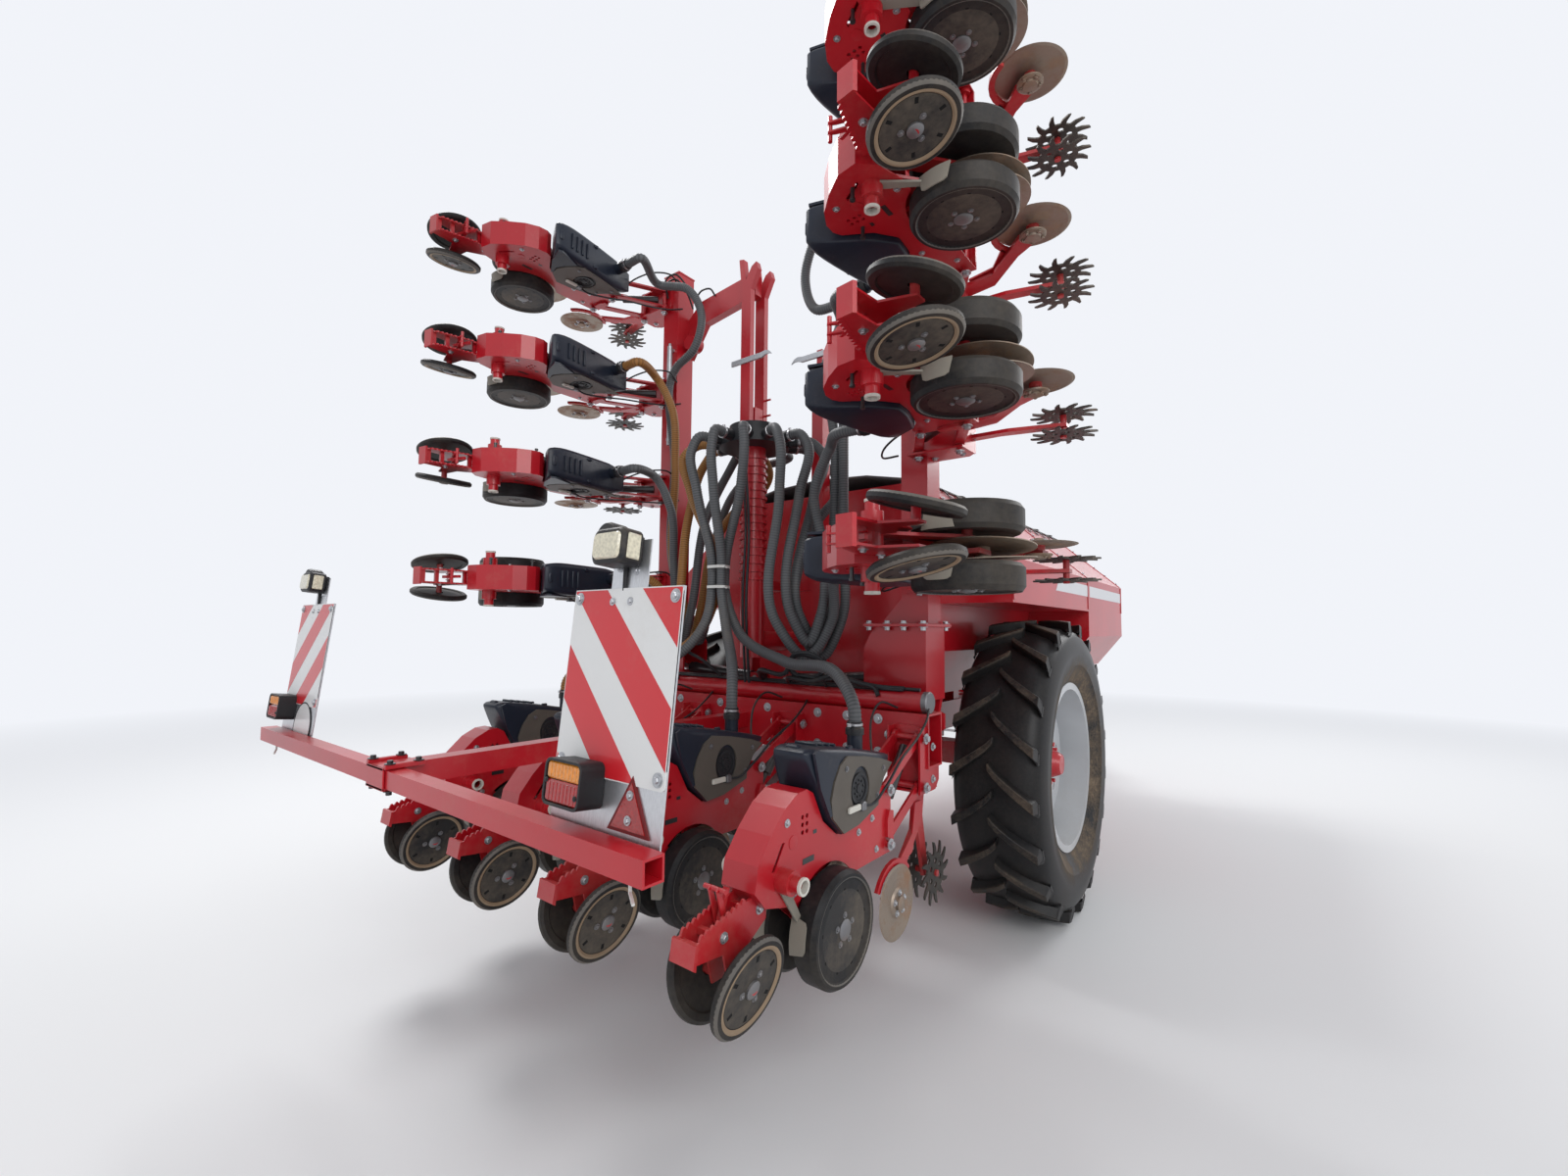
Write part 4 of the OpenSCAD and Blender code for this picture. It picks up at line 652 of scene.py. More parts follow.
def lug(form, mirror, turn):
    rings = []
    for k in range(LUG_STATIONS):
        t = k / (LUG_STATIONS - 1)
        x = -0.012 + (TYRE_HALF - 0.016) * min(1.0, 1.12 * t)
        along = 0.112 - 0.215 * t ** 0.82
        width = 0.036 + 0.022 * t
        top = TYRE_R - 0.001 - 0.012 * (x / TYRE_HALF) ** 2
        base = CASING_R - 0.012 - 0.05 * max(0.0, t - 0.7)
        if k == LUG_STATIONS - 1:
            top -= 0.090
            x += 0.004
        flank = width / 2 + 0.009
        steps = ((-flank, base), (-width / 2, top), (width / 2, top), (flank, base))
        ring = [on_tyre(mirror * x, along + step, r, turn) for step, r in steps]
        rings.append(ring if mirror > 0 else ring[::-1])
    form.stack(rings)


def road_tyres():
    shape = tyre_casing()
    for mirror, offset in ((1, 0), (-1, 0.5)):
        for k in range(LUG_COUNT):
            lug(shape, mirror, 2 * math.pi * (k + offset) / LUG_COUNT)
    shape.smooth = 38
    for name, side in (("right", 1), ("left", -1)):
        here = Matrix.Translation((side * HALF_TRACK, AXLE.y, AXLE.z))
        tyre = shape.placed([here])
        item = tyre.piece("tyre_with_lugs_" + name, "wheel_" + name, "tyre_rubber", bevel=0.004)
        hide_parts("tyre_" + name)


# Hoses from the tower head, the same places as in the part's source, in millimetres
HOSE_D = 58
HEAD_Y, OUTLET_R, OUTLET_Z = -2240, 260, 2876
SEAT = 0.4
# Pitch and depth of a hose's rings, in metres, and the steps between two points of its way
CORRUGATION, GROOVE = 0.0145, 0.003
STEPS = 14
# Outlet angle and way on the chassis, one hose for each centre row
CENTRE_HOSES = [
    (210, [(-380, -2450, 2810), (-335, -2440, 2600), (-145, -2395, 2117), (-145, -2395, 2002),
           (-190, -2440, 1790), (-560, -2560, 1540), (-960, -2700, 1540)]),
    (240, [(-200, -2560, 2800), (-185, -2530, 2560), (-118, -2462, 2117), (-118, -2462, 2002),
           (-130, -2500, 1800), (-230, -2600, 1620), (-350, -2725, 1540)]),
    (270, [(-10, -2590, 2800), (-25, -2560, 2560), (-50, -2455, 2117), (-50, -2455, 2002),
           (10, -2480, 1790), (150, -2590, 1640), (280, -2715, 1540)]),
    (300, [(175, -2530, 2800), (110, -2480, 2560), (-78, -2395, 2117), (-78, -2395, 2002),
           (30, -2410, 1770), (460, -2520, 1600), (900, -2690, 1550)]),
]
# Outlet angle, row, way on the chassis, first way on the wing, lane beside the wing, last swing
RIGHT_WAYS = [
    (330, 0, [(350, -2440, 2790), (345, -2430, 2500), (330, -2420, 1790), (455, -2330, 1615)],
     [(565, -2240, 1820)], (575, -2215), 0),
    (0, 1, [(400, -2250, 2800), (405, -2330, 2500), (395, -2360, 1810), (455, -2310, 1692)],
     [(505, -2265, 1840)], (510, -2250), 20),
    (30, 2, [(370, -2060, 2800), (400, -2190, 2500), (400, -2290, 1810), (455, -2220, 1692)],
     [(505, -2170, 1840)], (510, -2155), 20),
    (60, 3, [(190, -1860, 2830), (270, -1815, 2760), (390, -1880, 2640), (350, -2110, 2350),
             (335, -2240, 1790), (455, -2190, 1612)],
     [(570, -2155, 1820)], (575, -2150), 270),
]
LEFT_WAYS = [
    (180, 0, [(410, -2250, 2800), (460, -2320, 2500), (495, -2370, 1860), (580, -2325, 1695)],
     [(660, -2290, 1900)], (665, -2270), 0),
    (150, 1, [(375, -2060, 2790), (430, -2190, 2500), (490, -2270, 1860), (578, -2245, 1695)],
     [(662, -2230, 1900)], (730, -2200), 20),
    (120, 2, [(190, -1860, 2800), (260, -1815, 2730), (400, -1880, 2620), (480, -2060, 2350),
              (500, -2175, 1870), (583, -2155, 1700)],
     [(662, -2155, 1890)], (790, -2150), 20),
    (90, 3, [(100, -1800, 2890), (290, -1780, 2880), (450, -1870, 2740), (530, -2000, 2400),
             (540, -2085, 1900), (550, -2081, 1760)],
     [(604, -2078, 1680), (656, -2081, 1750)], (840, -2112), 240),
]


def outlet(angle, out):
    a = math.radians(angle)
    return ((OUTLET_R + out) * math.cos(a), HEAD_Y + (OUTLET_R + out) * math.sin(a), OUTLET_Z)


def meters(points):
    return [Vector(p) / 1000 for p in points]


# Inlet of the meter, in the row's own frame
INLET = Vector((-0.030, -0.420, 0.020))


def inlet(place, up):
    return place @ (INLET + Vector((0, 0, up / 1000)))


def lane_way(row, z, first, lane, swing):
    x, y = lane
    way = first + [(x, y, 2200 + 1000 * ROW_PITCH * k) for k in range(row)]
    if swing > 100:
        way += [(x - 0.7 * swing, y, z - 500), (x - swing, y, z - 270), (x - 0.6 * swing, y - 40, z - 80)]
    elif row:
        way.append((x - swing, y - 60, z - 220))
    return way + [(max(x + 60, 640), y - 130, z - 15)]


# Stations at equal steps of length
def even(line, pitch):
    run = [0.0]
    for a, b in zip(line, line[1:]):
        run.append(run[-1] + (b - a).length)
    count = max(2, round(run[-1] / pitch))
    out, k = [], 0
    for j in range(count + 1):
        s = run[-1] * j / count
        while k < len(line) - 2 and run[k + 1] < s:
            k += 1
        out.append(line[k].lerp(line[k + 1], (s - run[k]) / (run[k + 1] - run[k])))
    return out


def hose_tube(name, lines, body, material):
    stations = [even(line, CORRUGATION / 2) for line in lines]
    return tube(name, stations, HOSE_D / 2000, body, "hose_grey", material, groove=GROOVE)


def centre_hoses(grey, tan):
    lines = []
    for place, (angle, way) in zip(row_places("centre"), CENTRE_HOSES):
        ends = [inlet(place, up) for up in (90, SEAT)]
        lines.append(smooth_line(meters([outlet(angle, SEAT), outlet(angle, 75)] + way) + ends, STEPS))
    hose_tube("hose_to_first_centre_row", lines[:1], "chassis", tan)
    others = hose_tube("hoses_to_centre_rows", lines[1:], "chassis", grey)
    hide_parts("tower_hoses")


# Line of a wing's hose in three parts: as far as the hinge, over it, and along the wing
def wing_hose(side, place, angle, row, way, first, lane, swing):
    z = 1000 * inlet(place, 0).z
    mirrored = [(side * x, y, h) for x, y, h in way + lane_way(row, z, first, lane, swing)]
    points = meters([outlet(angle, SEAT), outlet(angle, 70)] + mirrored)
    points += [inlet(place, up) for up in (160, 80, SEAT)]
    line = smooth_line(points, STEPS)
    low = STEPS * (1 + len(way))
    cut = low + STEPS * len(first)
    return line[:low + 1], line[low:cut + 1], line[cut:]


def wing_hoses(side, name, ways, label, material):
    places = row_places(name)
    fixed, bent, riding = zip(*(wing_hose(side, places[way[1]], *way) for way in ways))
    hose_tube("hoses_to_hinge_" + label, fixed, "chassis", material)
    first_part = hose_tube("hoses_over_hinge_" + label, bent, None, material)
    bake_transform(first_part)
    return hose_tube("hoses_on_wing_" + label, riding, "wing_" + name, material)


def hoses():
    grey, tan = look("hose_grey"), extra("hose_tan", hose_look, (0.36, 0.165, 0.045))
    centre_hoses(grey, tan)
    for side, name, ways in ((1, "right", RIGHT_WAYS), (-1, "left", LEFT_WAYS[1::2])):
        second = wing_hoses(side, name, ways, name, grey)
        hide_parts(name + "_hoses")
    wing_hoses(-1, "left", LEFT_WAYS[::2], "left_tan", tan)


# White ties round the hose bundle
TIE_WHITE = (0.70, 0.70, 0.67)
TIE_OUTLINE = mm((-190, -2400), (-172, -2432), (-150, -2470), (-118, -2503), (-82, -2500), (-40, -2497),
                 (-12, -2468), (-22, -2420), (-48, -2385), (-80, -2357), (-145, -2357), (-180, -2368))
TIE_HALF, TIE_INNER = 0.008, 0.965
TIE_HEIGHTS = (2.117, 2.002)


def hose_ties():
    ties = Form()
    cx, cy = (sum(values) / len(TIE_OUTLINE) for values in zip(*TIE_OUTLINE))
    inner = [(cx + TIE_INNER * (x - cx), cy + TIE_INNER * (y - cy)) for x, y in TIE_OUTLINE]
    loops = ((TIE_OUTLINE, -TIE_HALF), (TIE_OUTLINE, TIE_HALF), (inner, TIE_HALF), (inner, -TIE_HALF))
    for z in TIE_HEIGHTS:
        ties.stack([[(x, y, z + h) for x, y in loop] for loop, h in loops], closed=True)
        ties.rod((-0.015, -2.470, z), (0.030, -2.500, z - 0.012), 0.004, 8)
    ties.piece("white_ties", "chassis", "hose_grey", extra("tie_white", plastic, TIE_WHITE))


# Cuff and clamp that hold each hose at its meter
def hose_cuffs():
    cuff_profile = mm((30, 18), (39.5, 20), (39.5, 46), (33.5, 52), (33.5, 72), (30.5, 74),
                      (29, 74), (29, 18))
    band_profile = mm((34.5, 0), (35.2, 1), (35.2, 9), (34.5, 10), (31, 10), (31, 0))
    cuff = Form().turned((INLET.x, INLET.y, 0), (0, 0, 1), cuff_profile, 28, closed=True)
    band = Form().turned((INLET.x, INLET.y, 0.056), (0, 0, 1), band_profile, 28, closed=True)
    band.block((-0.038, -0.468, 0.053), (-0.022, -0.452, 0.069), 0.002)
    for group, body in BODIES.items():
        cuff.placed(row_places(group)).piece("hose_cuffs_" + group, body, "black_plastic")
        band.placed(row_places(group)).piece("hose_clamps_" + group, body, "bare_steel")


# Clamp round each outlet of the distributor head
OUTLET_COUNT = 12


def head_clamps():
    clamps = Form()
    for k in range(OUTLET_COUNT):
        a = 2 * math.pi * k / OUTLET_COUNT
        out = Vector((math.cos(a), math.sin(a), 0))
        origin = Vector((0, HEAD_Y / 1000, OUTLET_Z / 1000)) + out * 0.268
        clamps.turned(origin, out, mm((29.8, 0), (34, 1), (34, 13), (29.8, 14)), 24, closed=True)
        clamps.block(origin + Vector((-0.008, -0.008, 0.033)), origin + Vector((0.008, 0.008, 0.045)), 0.002)
    clamps.piece("head_clamps", "chassis", "bare_steel")


# Row details, in the row's own frame: x across, y forward, z up
GAUGE = Vector((0, -0.775, -0.600))
GAUGE_X = 0.104
CLOSING = Vector((0, -1.230, -0.620))
CLOSING_X, CLOSING_TILT = 0.092, 14
BODY_W = 0.072
METER_W = 0.098
COULTER = Vector((0.083, -0.240, -0.700))
AXIS = (1, 0, 0)


def outward(side):
    return Matrix.Identity(4) if side > 0 else Matrix.Rotation(math.pi, 4, "Z")


def gauge_place(side):
    return Matrix.Translation(GAUGE + Vector((side * GAUGE_X, 0, 0))) @ outward(side)


def closing_place(side):
    tilt = Matrix.Rotation(math.radians(CLOSING_TILT * side), 4, "Y")
    return Matrix.Translation(CLOSING + Vector((side * CLOSING_X, 0, 0))) @ tilt @ outward(side)


# Each form at the place of both wheels of a row
def on_wheels(forms, place):
    return [form.placed([place(1), place(-1)]) for form in forms]


# Sector plate about the X axis
def sector(form, r0, r1, middle, half, x0, x1, steps=6):
    angles = [middle - half + 2 * half * k / steps for k in range(steps + 1)]
    loop = [(r1 * math.sin(a), r1 * math.cos(a)) for a in angles]
    loop += [(r0 * math.sin(a), r0 * math.cos(a)) for a in reversed(angles)]
    form.side_plate(loop, x0, x1)


# Ring of small plates about the X axis, as dark slots or ribs
def slots_round(form, radius, count, length, width, x0, x1, turn=0.0):
    for k in range(count):
        a = 2 * math.pi * k / count + turn
        tangent = Vector((math.cos(a), -math.sin(a)))
        out = Vector((math.sin(a), math.cos(a)))
        corners = [out * (radius + dr * width / 2) + tangent * dt * length / 2
                   for dr, dt in ((-1, -1), (-1, 1), (1, 1), (1, -1))]
        form.side_plate(corners, x0, x1)


# Face, slots, hub and edge ring of a gauge wheel: the slots are near-black plates as painted shade, and the
# edge ring's lighter grey is a painted sheen
def gauge_faces():
    x0, sectors = 0.036, 12
    face, dark, hub, edge = Form(), Form(), Form(), Form()
    face.turned((x0, 0, 0), AXIS, mm((158, 0), (166, 0), (166, 4), (162, 5), (158, 5)), 56, closed=True)
    face.turned((x0, 0, 0), AXIS, mm((150, 0), (150, 5), (82.5, 6), (12, 6), (12, 0)), 32, closed=True)
    for k in range(sectors):
        sector(face, 0.148, 0.160, 2 * math.pi * k / sectors, math.pi / sectors, x0, x0 + 0.005)
    slots_round(dark, 0.139, 9, 0.012, 0.007, 0.040, 0.0416)
    slots_round(dark, 0.070, 6, 0.007, 0.020, 0.040, 0.0416, 0.3)
    hub.turned((0.041, 0, 0), AXIS, mm((36, 0), (36, 4), (26, 10), (10, 12), (0, 12)), 28)
    hub.bolt_circle((0.041, 0, 0), 0.050, 5, 1, 0.012, 0.006)
    edge_profile = mm((169, 0), (175.5, 7.2), (177.5, 7.2), (177.5, 6.6), (170, -1))
    edge.turned((0.043, 0, 0), AXIS, edge_profile, 64, closed=True)
    return on_wheels((face, dark, hub, edge), gauge_place)


# Face, slots, tan ring, edge ring and hub of a closing wheel: the slots are near-black plates as painted
# shade, and the edge ring's lighter grey is a painted sheen
def closing_faces():
    face, dark, ring, sheen_edge, hub = (Form() for _ in range(5))
    face.turned((0.0095, 0, 0), AXIS, mm((22, 0), (116, 0), (116, 1.5), (60, 3), (22, 3)), 56, closed=True)
    slots_round(dark, 0.097, 6, 0.012, 0.020, 0.0112, 0.0122)
    ring_profile = mm((118.5, -4), (125.5, 1.4), (132.5, 1.2), (132.5, 0), (125, 0), (119, -5))
    ring.turned((0.0158, 0, 0), AXIS, ring_profile, 56, closed=True)
    sheen_edge_profile = mm((146.2, 5.2), (151.2, 1.2), (155.2, -4), (154.6, -4.8), (150.2, 0.2), (145.5, 4.6))
    sheen_edge.turned((0.0105, 0, 0), AXIS, sheen_edge_profile, 56, closed=True)
    hub.turned((0.012, 0, 0), AXIS, mm((28, 0), (28, 8), (20, 13), (0, 14)), 24)
    hub.bolt_circle((0.0125, 0, 0), 0.046, 3, 1, 0.012, 0.006, math.pi / 6)
    return on_wheels((face, dark, ring, sheen_edge, hub), closing_place)


# Bolts in pairs on a row's two sides: how far out, y and z; link bolts have a cap of their own under the head
LINK_BOLTS = mm((94, 0, -40), (94, 0, -262), (86, -330, -210), (86, -330, -432))
LINK_CAP = mm((21, 0), (21, 4), (0, 4))
BODY_BOLTS = mm((72, -455, -300), (72, -560, -330), (72, -420, -430), (72, -1020, -190), (72, -980, -430))
ARM_BOLTS = mm((42, -1125, -440), (42, -1290, -470))
BRACKET_BOLTS = mm((85, 95, -90), (85, 95, -240))


def row_bolts():
    form = Form()
    for s in (-1, 1):
        out = (s, 0, 0)
        for x, y, z in LINK_BOLTS:
            form.turned((s * x, y, z), out, LINK_CAP, 24)
            form.bolt((s * (x + 0.004), y, z), out, 0.026, 0.014)
        for x, y, z in BODY_BOLTS:
            form.bolt((s * x, y, z), out, 0.015, 0.008)
        for x, y, z in ARM_BOLTS:
            form.bolt((s * x, y, z), out, 0.018, 0.010)
        for x, y, z in BRACKET_BOLTS:
            form.bolt((s * x, y, z), out, 0.020, 0.011)
    form.bolt_circle(COULTER, 0.043, 5, 1, 0.014, 0.008)
    form.bolt((0.0, 0.120, -0.300), (0, 0, 1), 0.022, 0.012)
    return form


# Pale rings at the ends of the pivot tube
def pivot_rings():
    profile = mm((20.5, -20), (20.5, 4), (29, 4), (29, -6), (27.2, -6), (27.2, -1))
    form = Form()
    for s in (-1, 1):
        form.turned((s * 0.164, -1.050, -0.365), (s, 0, 0), profile, 32, closed=True)
    return form


# Curved scraper plate that hugs the tread of each gauge wheel, with its stem from the pivot tube
SCRAPER_R = (0.203, 0.2085)
SCRAPER_W = 0.056
SCRAPER_TURN = (-100, 36)


def scrapers():
    form = Form()
    inner, outer = SCRAPER_R
    for s in (-1, 1):
        rings = []
        for k in range(11):
            t = k / 10
            a = math.radians(SCRAPER_TURN[0] + SCRAPER_TURN[1] * t)
            reach = 0.058 + 0.062 * math.sqrt(max(0.0, 1 - (2 * t - 1) ** 6))
            corners = ((inner, SCRAPER_W), (inner, reach), (outer, reach), (outer, SCRAPER_W))
            rings.append([(s * w, GAUGE.y + r * math.sin(a), GAUGE.z + r * math.cos(a)) for r, w in corners])
        form.stack(rings)
        stem = mm((-1075, -385), (-1035, -372), (-950, -512), (-972, -524))
        form.side_plate(stem, *sorted((s * 0.074, s * 0.082)))
    return form


# Distance from a centre to the outline of a polygon, in the direction of an angle
def reach_out(outline, centre, angle):
    dy, dz = math.sin(angle), math.cos(angle)
    best = 0.0
    for (y0, z0), (y1, z1) in zip(outline, outline[1:] + outline[:1]):
        ey, ez = y1 - y0, z1 - z0
        den = dy * ez - dz * ey
        if abs(den) < 1e-9:
            continue
        t = ((y0 - centre[0]) * ez - (z0 - centre[1]) * ey) / den
        u = ((y0 - centre[0]) * dz - (z0 - centre[1]) * dy) / den
        if t > 0 and -1e-6 <= u <= 1 + 1e-6:
            best = max(best, t)
    return best


# Plate with an oval hole, from an outline in the side view
def holed_plate(outline, centre, radii, w0, w1, count=36):
    angles = [math.atan2(y - centre[0], z - centre[1]) for y, z in outline]
    angles += [2 * math.pi * k / count - math.pi for k in range(count)]
    near, far = [], []
    for a in sorted(set(round(angle, 5) for angle in angles)):
        reach = reach_out(outline, centre, a)
        far.append((centre[0] + reach * math.sin(a), centre[1] + reach * math.cos(a)))
        near.append((centre[0] + radii[0] * math.sin(a), centre[1] + radii[1] * math.cos(a)))
    loops = ((near, w0), (far, w0), (far, w1), (near, w1))
    return Form().stack([[(w, y, z) for y, z in loop] for loop, w in loops], closed=True)


METER_HOLE = (-0.600, -0.150)
METER_HOLE_R = (0.068, 0.084)


def meter_plate():
    outline = mm((-345, -90), (-430, -62), (-560, -34), (-690, -14), (-742, -42), (-778, -96), (-800, -160),
                 (-790, -222), (-716, -292), (-612, -284), (-460, -240), (-452, -190), (-412, -138))
    return holed_plate(outline, METER_HOLE, METER_HOLE_R, METER_W - 0.002, METER_W + 0.0075)


# Rounded housing: cross-sections from front to rear, each y, half width, top and bottom, in millimetres
METER_SHELL = [(-300, 62, -70, -82), (-330, 76, -60, -100), (-380, 90, -48, -124), (-430, 97, -37, -196),
               (-456, 98, -32, -240), (-540, 98, -14, -268), (-620, 98, 2, -290), (-712, 98, 18, -298),
               (-752, 98, 24, -262), (-800, 97, 31, -216), (-842, 94, 36, -146), (-880, 88, 38, -70),
               (-908, 78, 34, -14), (-920, 66, 25, 8)]


def meter_shell():
    form = Form()
    rings = []
    for y, half, top, bottom in METER_SHELL:
        r_top, r_low = min(30, (top - bottom) * 0.45), min(12, (top - bottom) * 0.3)
        corners = ((1, r_low, bottom + r_low, -90), (1, r_top, top - r_top, 0),
                   (-1, r_top, top - r_top, 90), (-1, r_low, bottom + r_low, 180))
        loop = []
        for sign, r, cz, turn in corners:
            angles = [math.radians(turn + 18 * k) for k in range(6)]
            loop += [(sign * (half - r) + r * math.cos(a), y, cz + r * math.sin(a)) for a in angles]
        rings.append(mm(*loop))
    form.stack(rings)
    form.smooth = 50
    collar = mm((33, 0), (33, 70), (29, 70), (29, 0))
    form.turned((INLET.x, INLET.y, -0.050), (0, 0, 1), collar, 28, closed=True)
    return form


# Lid with its lip, hinges, catch and ribs
def meter_cover():
    form = Form()
    lip = mm((-742, -20), (-880, 34), (-905, 24), (-868, -104), (-806, -214), (-792, -210), (-812, -150),
             (-790, -90), (-757, -46))
    form.side_plate(lip, METER_W - 0.004, METER_W + 0.007)
    for s in (-1, 1):
        form.side_block(s, (0.060, -0.640, -0.012), (0.078, -0.610, 0.012), 0.003)
    form.block((-0.030, -0.905, -0.020), (0.030, -0.880, 0.046), 0.006)
    for k in range(4):
        y, z = -0.700 - 0.040 * k, 0.010 + 0.006 * k
        form.block((-0.050, y, z), (0.050, y + 0.012, z + 0.016), 0.003)
    return form


# Dark seed disc behind the hole
def meter_inside():
    form = Form()
    w0 = METER_W - 0.001
    middle = (w0, *METER_HOLE)
    form.turned(middle, AXIS, mm((72, 0), (72, 1.5), (0, 1.5)), 40)
    form.turned(middle, AXIS, mm((48, 0), (48, 5), (55, 7), (60, 7), (60, 0)), 40, closed=True)
    for k in range(9):
        a = 2 * math.pi * k / 9
        y, z = METER_HOLE[0] + 0.031 * math.sin(a), METER_HOLE[1] + 0.031 * math.cos(a)
        form.block((w0, y - 0.004, z - 0.004), (w0 + 0.006, y + 0.004, z + 0.004), 0.001)
    form.turned(middle, AXIS, mm((20, 0), (18, 6), (0, 7)), 20)
    return form


# White connector of the meter's cable, and its grey plug with the plate's screws
def connector():
    white, grey = Form(), Form()
    white.block((METER_W + 0.0070, -0.694, -0.226), (METER_W + 0.020, -0.612, -0.203), 0.003)
    grey.block((METER_W + 0.0070, -0.610, -0.232), (METER_W + 0.026, -0.580, -0.198), 0.004)
    for y, z in ((-0.470, -0.200), (-0.700, -0.060), (-0.420, -0.100)):
        grey.bolt((METER_W + 0.0075, y, z), AXIS, 0.012, 0.006)
    return white, grey


# Fittings of the closing arm: serrated edge, V-shaped lever, end plate
def arm_fittings():
    form = Form()
    teeth = 9
    y0, y1, z0, z1 = -1.190, -1.392, -0.398, -0.447
    profile = []
    for k in range(teeth):
        for part, up in ((0.0, 0.003), (0.35, 0.014), (0.65, 0.014), (0.95, 0.003)):
            t = (k + part) / teeth
            profile.append((y0 + (y1 - y0) * t, z0 + (z1 - z0) * t + up))
    profile += [(y1, z1 - 0.012), (y0, z0 - 0.012)]
    lever = mm((-1262, -470), (-1240, -462), (-1276, -356), (-1290, -330), (-1300, -338), (-1290, -372))
    for s in (-1, 1):
        form.side_plate(profile, *sorted((s * 0.0335, s * 0.0425)))
        form.side_plate(lever, *sorted((s * 0.020, s * 0.014)))
    form.rod((-0.045, -1.286, -0.338), (0.045, -1.286, -0.338), 0.008)
    form.rod((-0.042, -1.120, -0.410), (0.042, -1.120, -0.410), 0.012)
    form.side_plate(mm((-1404, -448), (-1414, -448), (-1424, -512), (-1412, -520)), -0.050, 0.050)
    return form


# Curved red guard over the fertiliser disc, spring seat and small brackets
def red_fittings():
    form = Form()
    rings = []
    for k in range(9):
        a = math.radians(-62 + 112 * k / 8)
        corners = ((0.048, 0.150), (0.064, 0.150), (0.064, 0.176), (0.048, 0.176))
        rings.append([(x, COULTER.y + r * math.sin(a), COULTER.z + r * math.cos(a)) for x, r in corners])
    form.stack(rings)
    leg = mm((-30, -330), (30, -330), (-60, -540), (-130, -560), (-190, -548), (-60, -460))
    form.side_plate(leg, 0.048, 0.056)
    bracket = mm((-296, -300), (-330, -292), (-346, -330), (-346, -400), (-296, -420))
    for s in (-1, 1):
        form.side_plate(bracket, *sorted((s * (BODY_W + 0.0005), s * 0.086)))
    for s in (1, -1):
        seat = (s * (BODY_W + 0.0002), -0.985, -0.262)
        form.turned(seat, (s, 0, 0), mm((24, 0), (24, 1.5), (21, 2), (0, 2)), 28)
    return form


# Pressure cylinder between the links, black plates and two plugs
def black_fittings():
    form = Form()
    a, b = Vector((0, -0.020, -0.085)), Vector((0, -0.290, -0.395))
    form.rod(a, a.lerp(b, 0.62), 0.026, 20)
    form.rod(a.lerp(b, 0.60), b, 0.013, 16)
    for s in (-1, 1):
        form.side_block(s, (0.0722, -0.930, -0.352), (0.0732, -0.862, -0.332))
        form.side_block(s, (0.0722, -0.868, -0.262), (0.0730, -0.846, -0.248))
    for y, z in ((-1.080, -0.300), (-0.862, -0.215)):
        form.rod((-BODY_W, y, z), (-0.122, y, z), 0.008, 12)
        form.turned((-0.112, y, z), (-1, 0, 0), mm((11, 0), (11, 8), (0, 10)), 12)
    return form


# Hub, raised ring and inner flange of the fertiliser disc
def coulter_hub():
    form = Form()
    y, z = COULTER.y, COULTER.z
    form.turned(COULTER, AXIS, mm((30, 0), (30, 10), (20, 16), (0, 17)), 28)
    form.turned((0.0706, y, z), AXIS, mm((92, 3.2), (100, 4.5), (108, 3.2)), 48, closed=True)
    hub = mm((56, -4), (56, 2), (48, 6), (34, 6), (30, 14), (0, 16))
    form.turned((0.0275, y, z), (-1, 0, 0), hub, 36)
    form.bolt_circle((0.0215, y, z), 0.042, 5, -1, 0.012, 0.006)
    return form


# Cables of a row, given points: from the meter's plug up to the bar, and a loop over the links
ROW_CABLE = mm((112, -585, -215), (122, -545, -218), (128, -440, -170), (124, -300, -85), (118, -120, -10),
               (110, -15, 52), (85, 60, 88))
ROW_LOOP = mm((-60, 20, 88), (-90, -80, 120), (-80, -190, 60), (-50, -250, -40), (-20, -270, -150))


def row_cables(group, body):
    ways = [smooth_line(way, 6) for way in (ROW_CABLE, ROW_LOOP)]
    lines = [[place @ p for p in way] for way in ways for place in row_places(group)]
    tube("row_cables_" + group, lines, 0.0055, body, "black_plastic", sides=8)


# Looks of the rows that are no slot's own: colour, roughness and dust
ROW_LOOKS = {
    "wheel_face": ((0.022, 0.021, 0.021), 0.5, 0.42),
    "ring_tan": ((0.27, 0.19, 0.12), 0.5, 0.3),
    # Lighter grey on the rims of the wheels' faces: painted sheen
    "worn_rubber": ((0.105, 0.098, 0.090), 0.5, 0.3),
    "meter_taupe": ((0.105, 0.092, 0.078), 0.5, 0.3),
    "scraper_beige": ((0.27, 0.25, 0.21), 0.5, 0.3),
    "cream": ((0.62, 0.60, 0.54), 0.45, 0.2),
}


def row_look(name, group):
    colour, rough, dust = ROW_LOOKS[name]
    return extra(f"{name}_{group}", plastic, colour, BODIES[group], rough, dust)


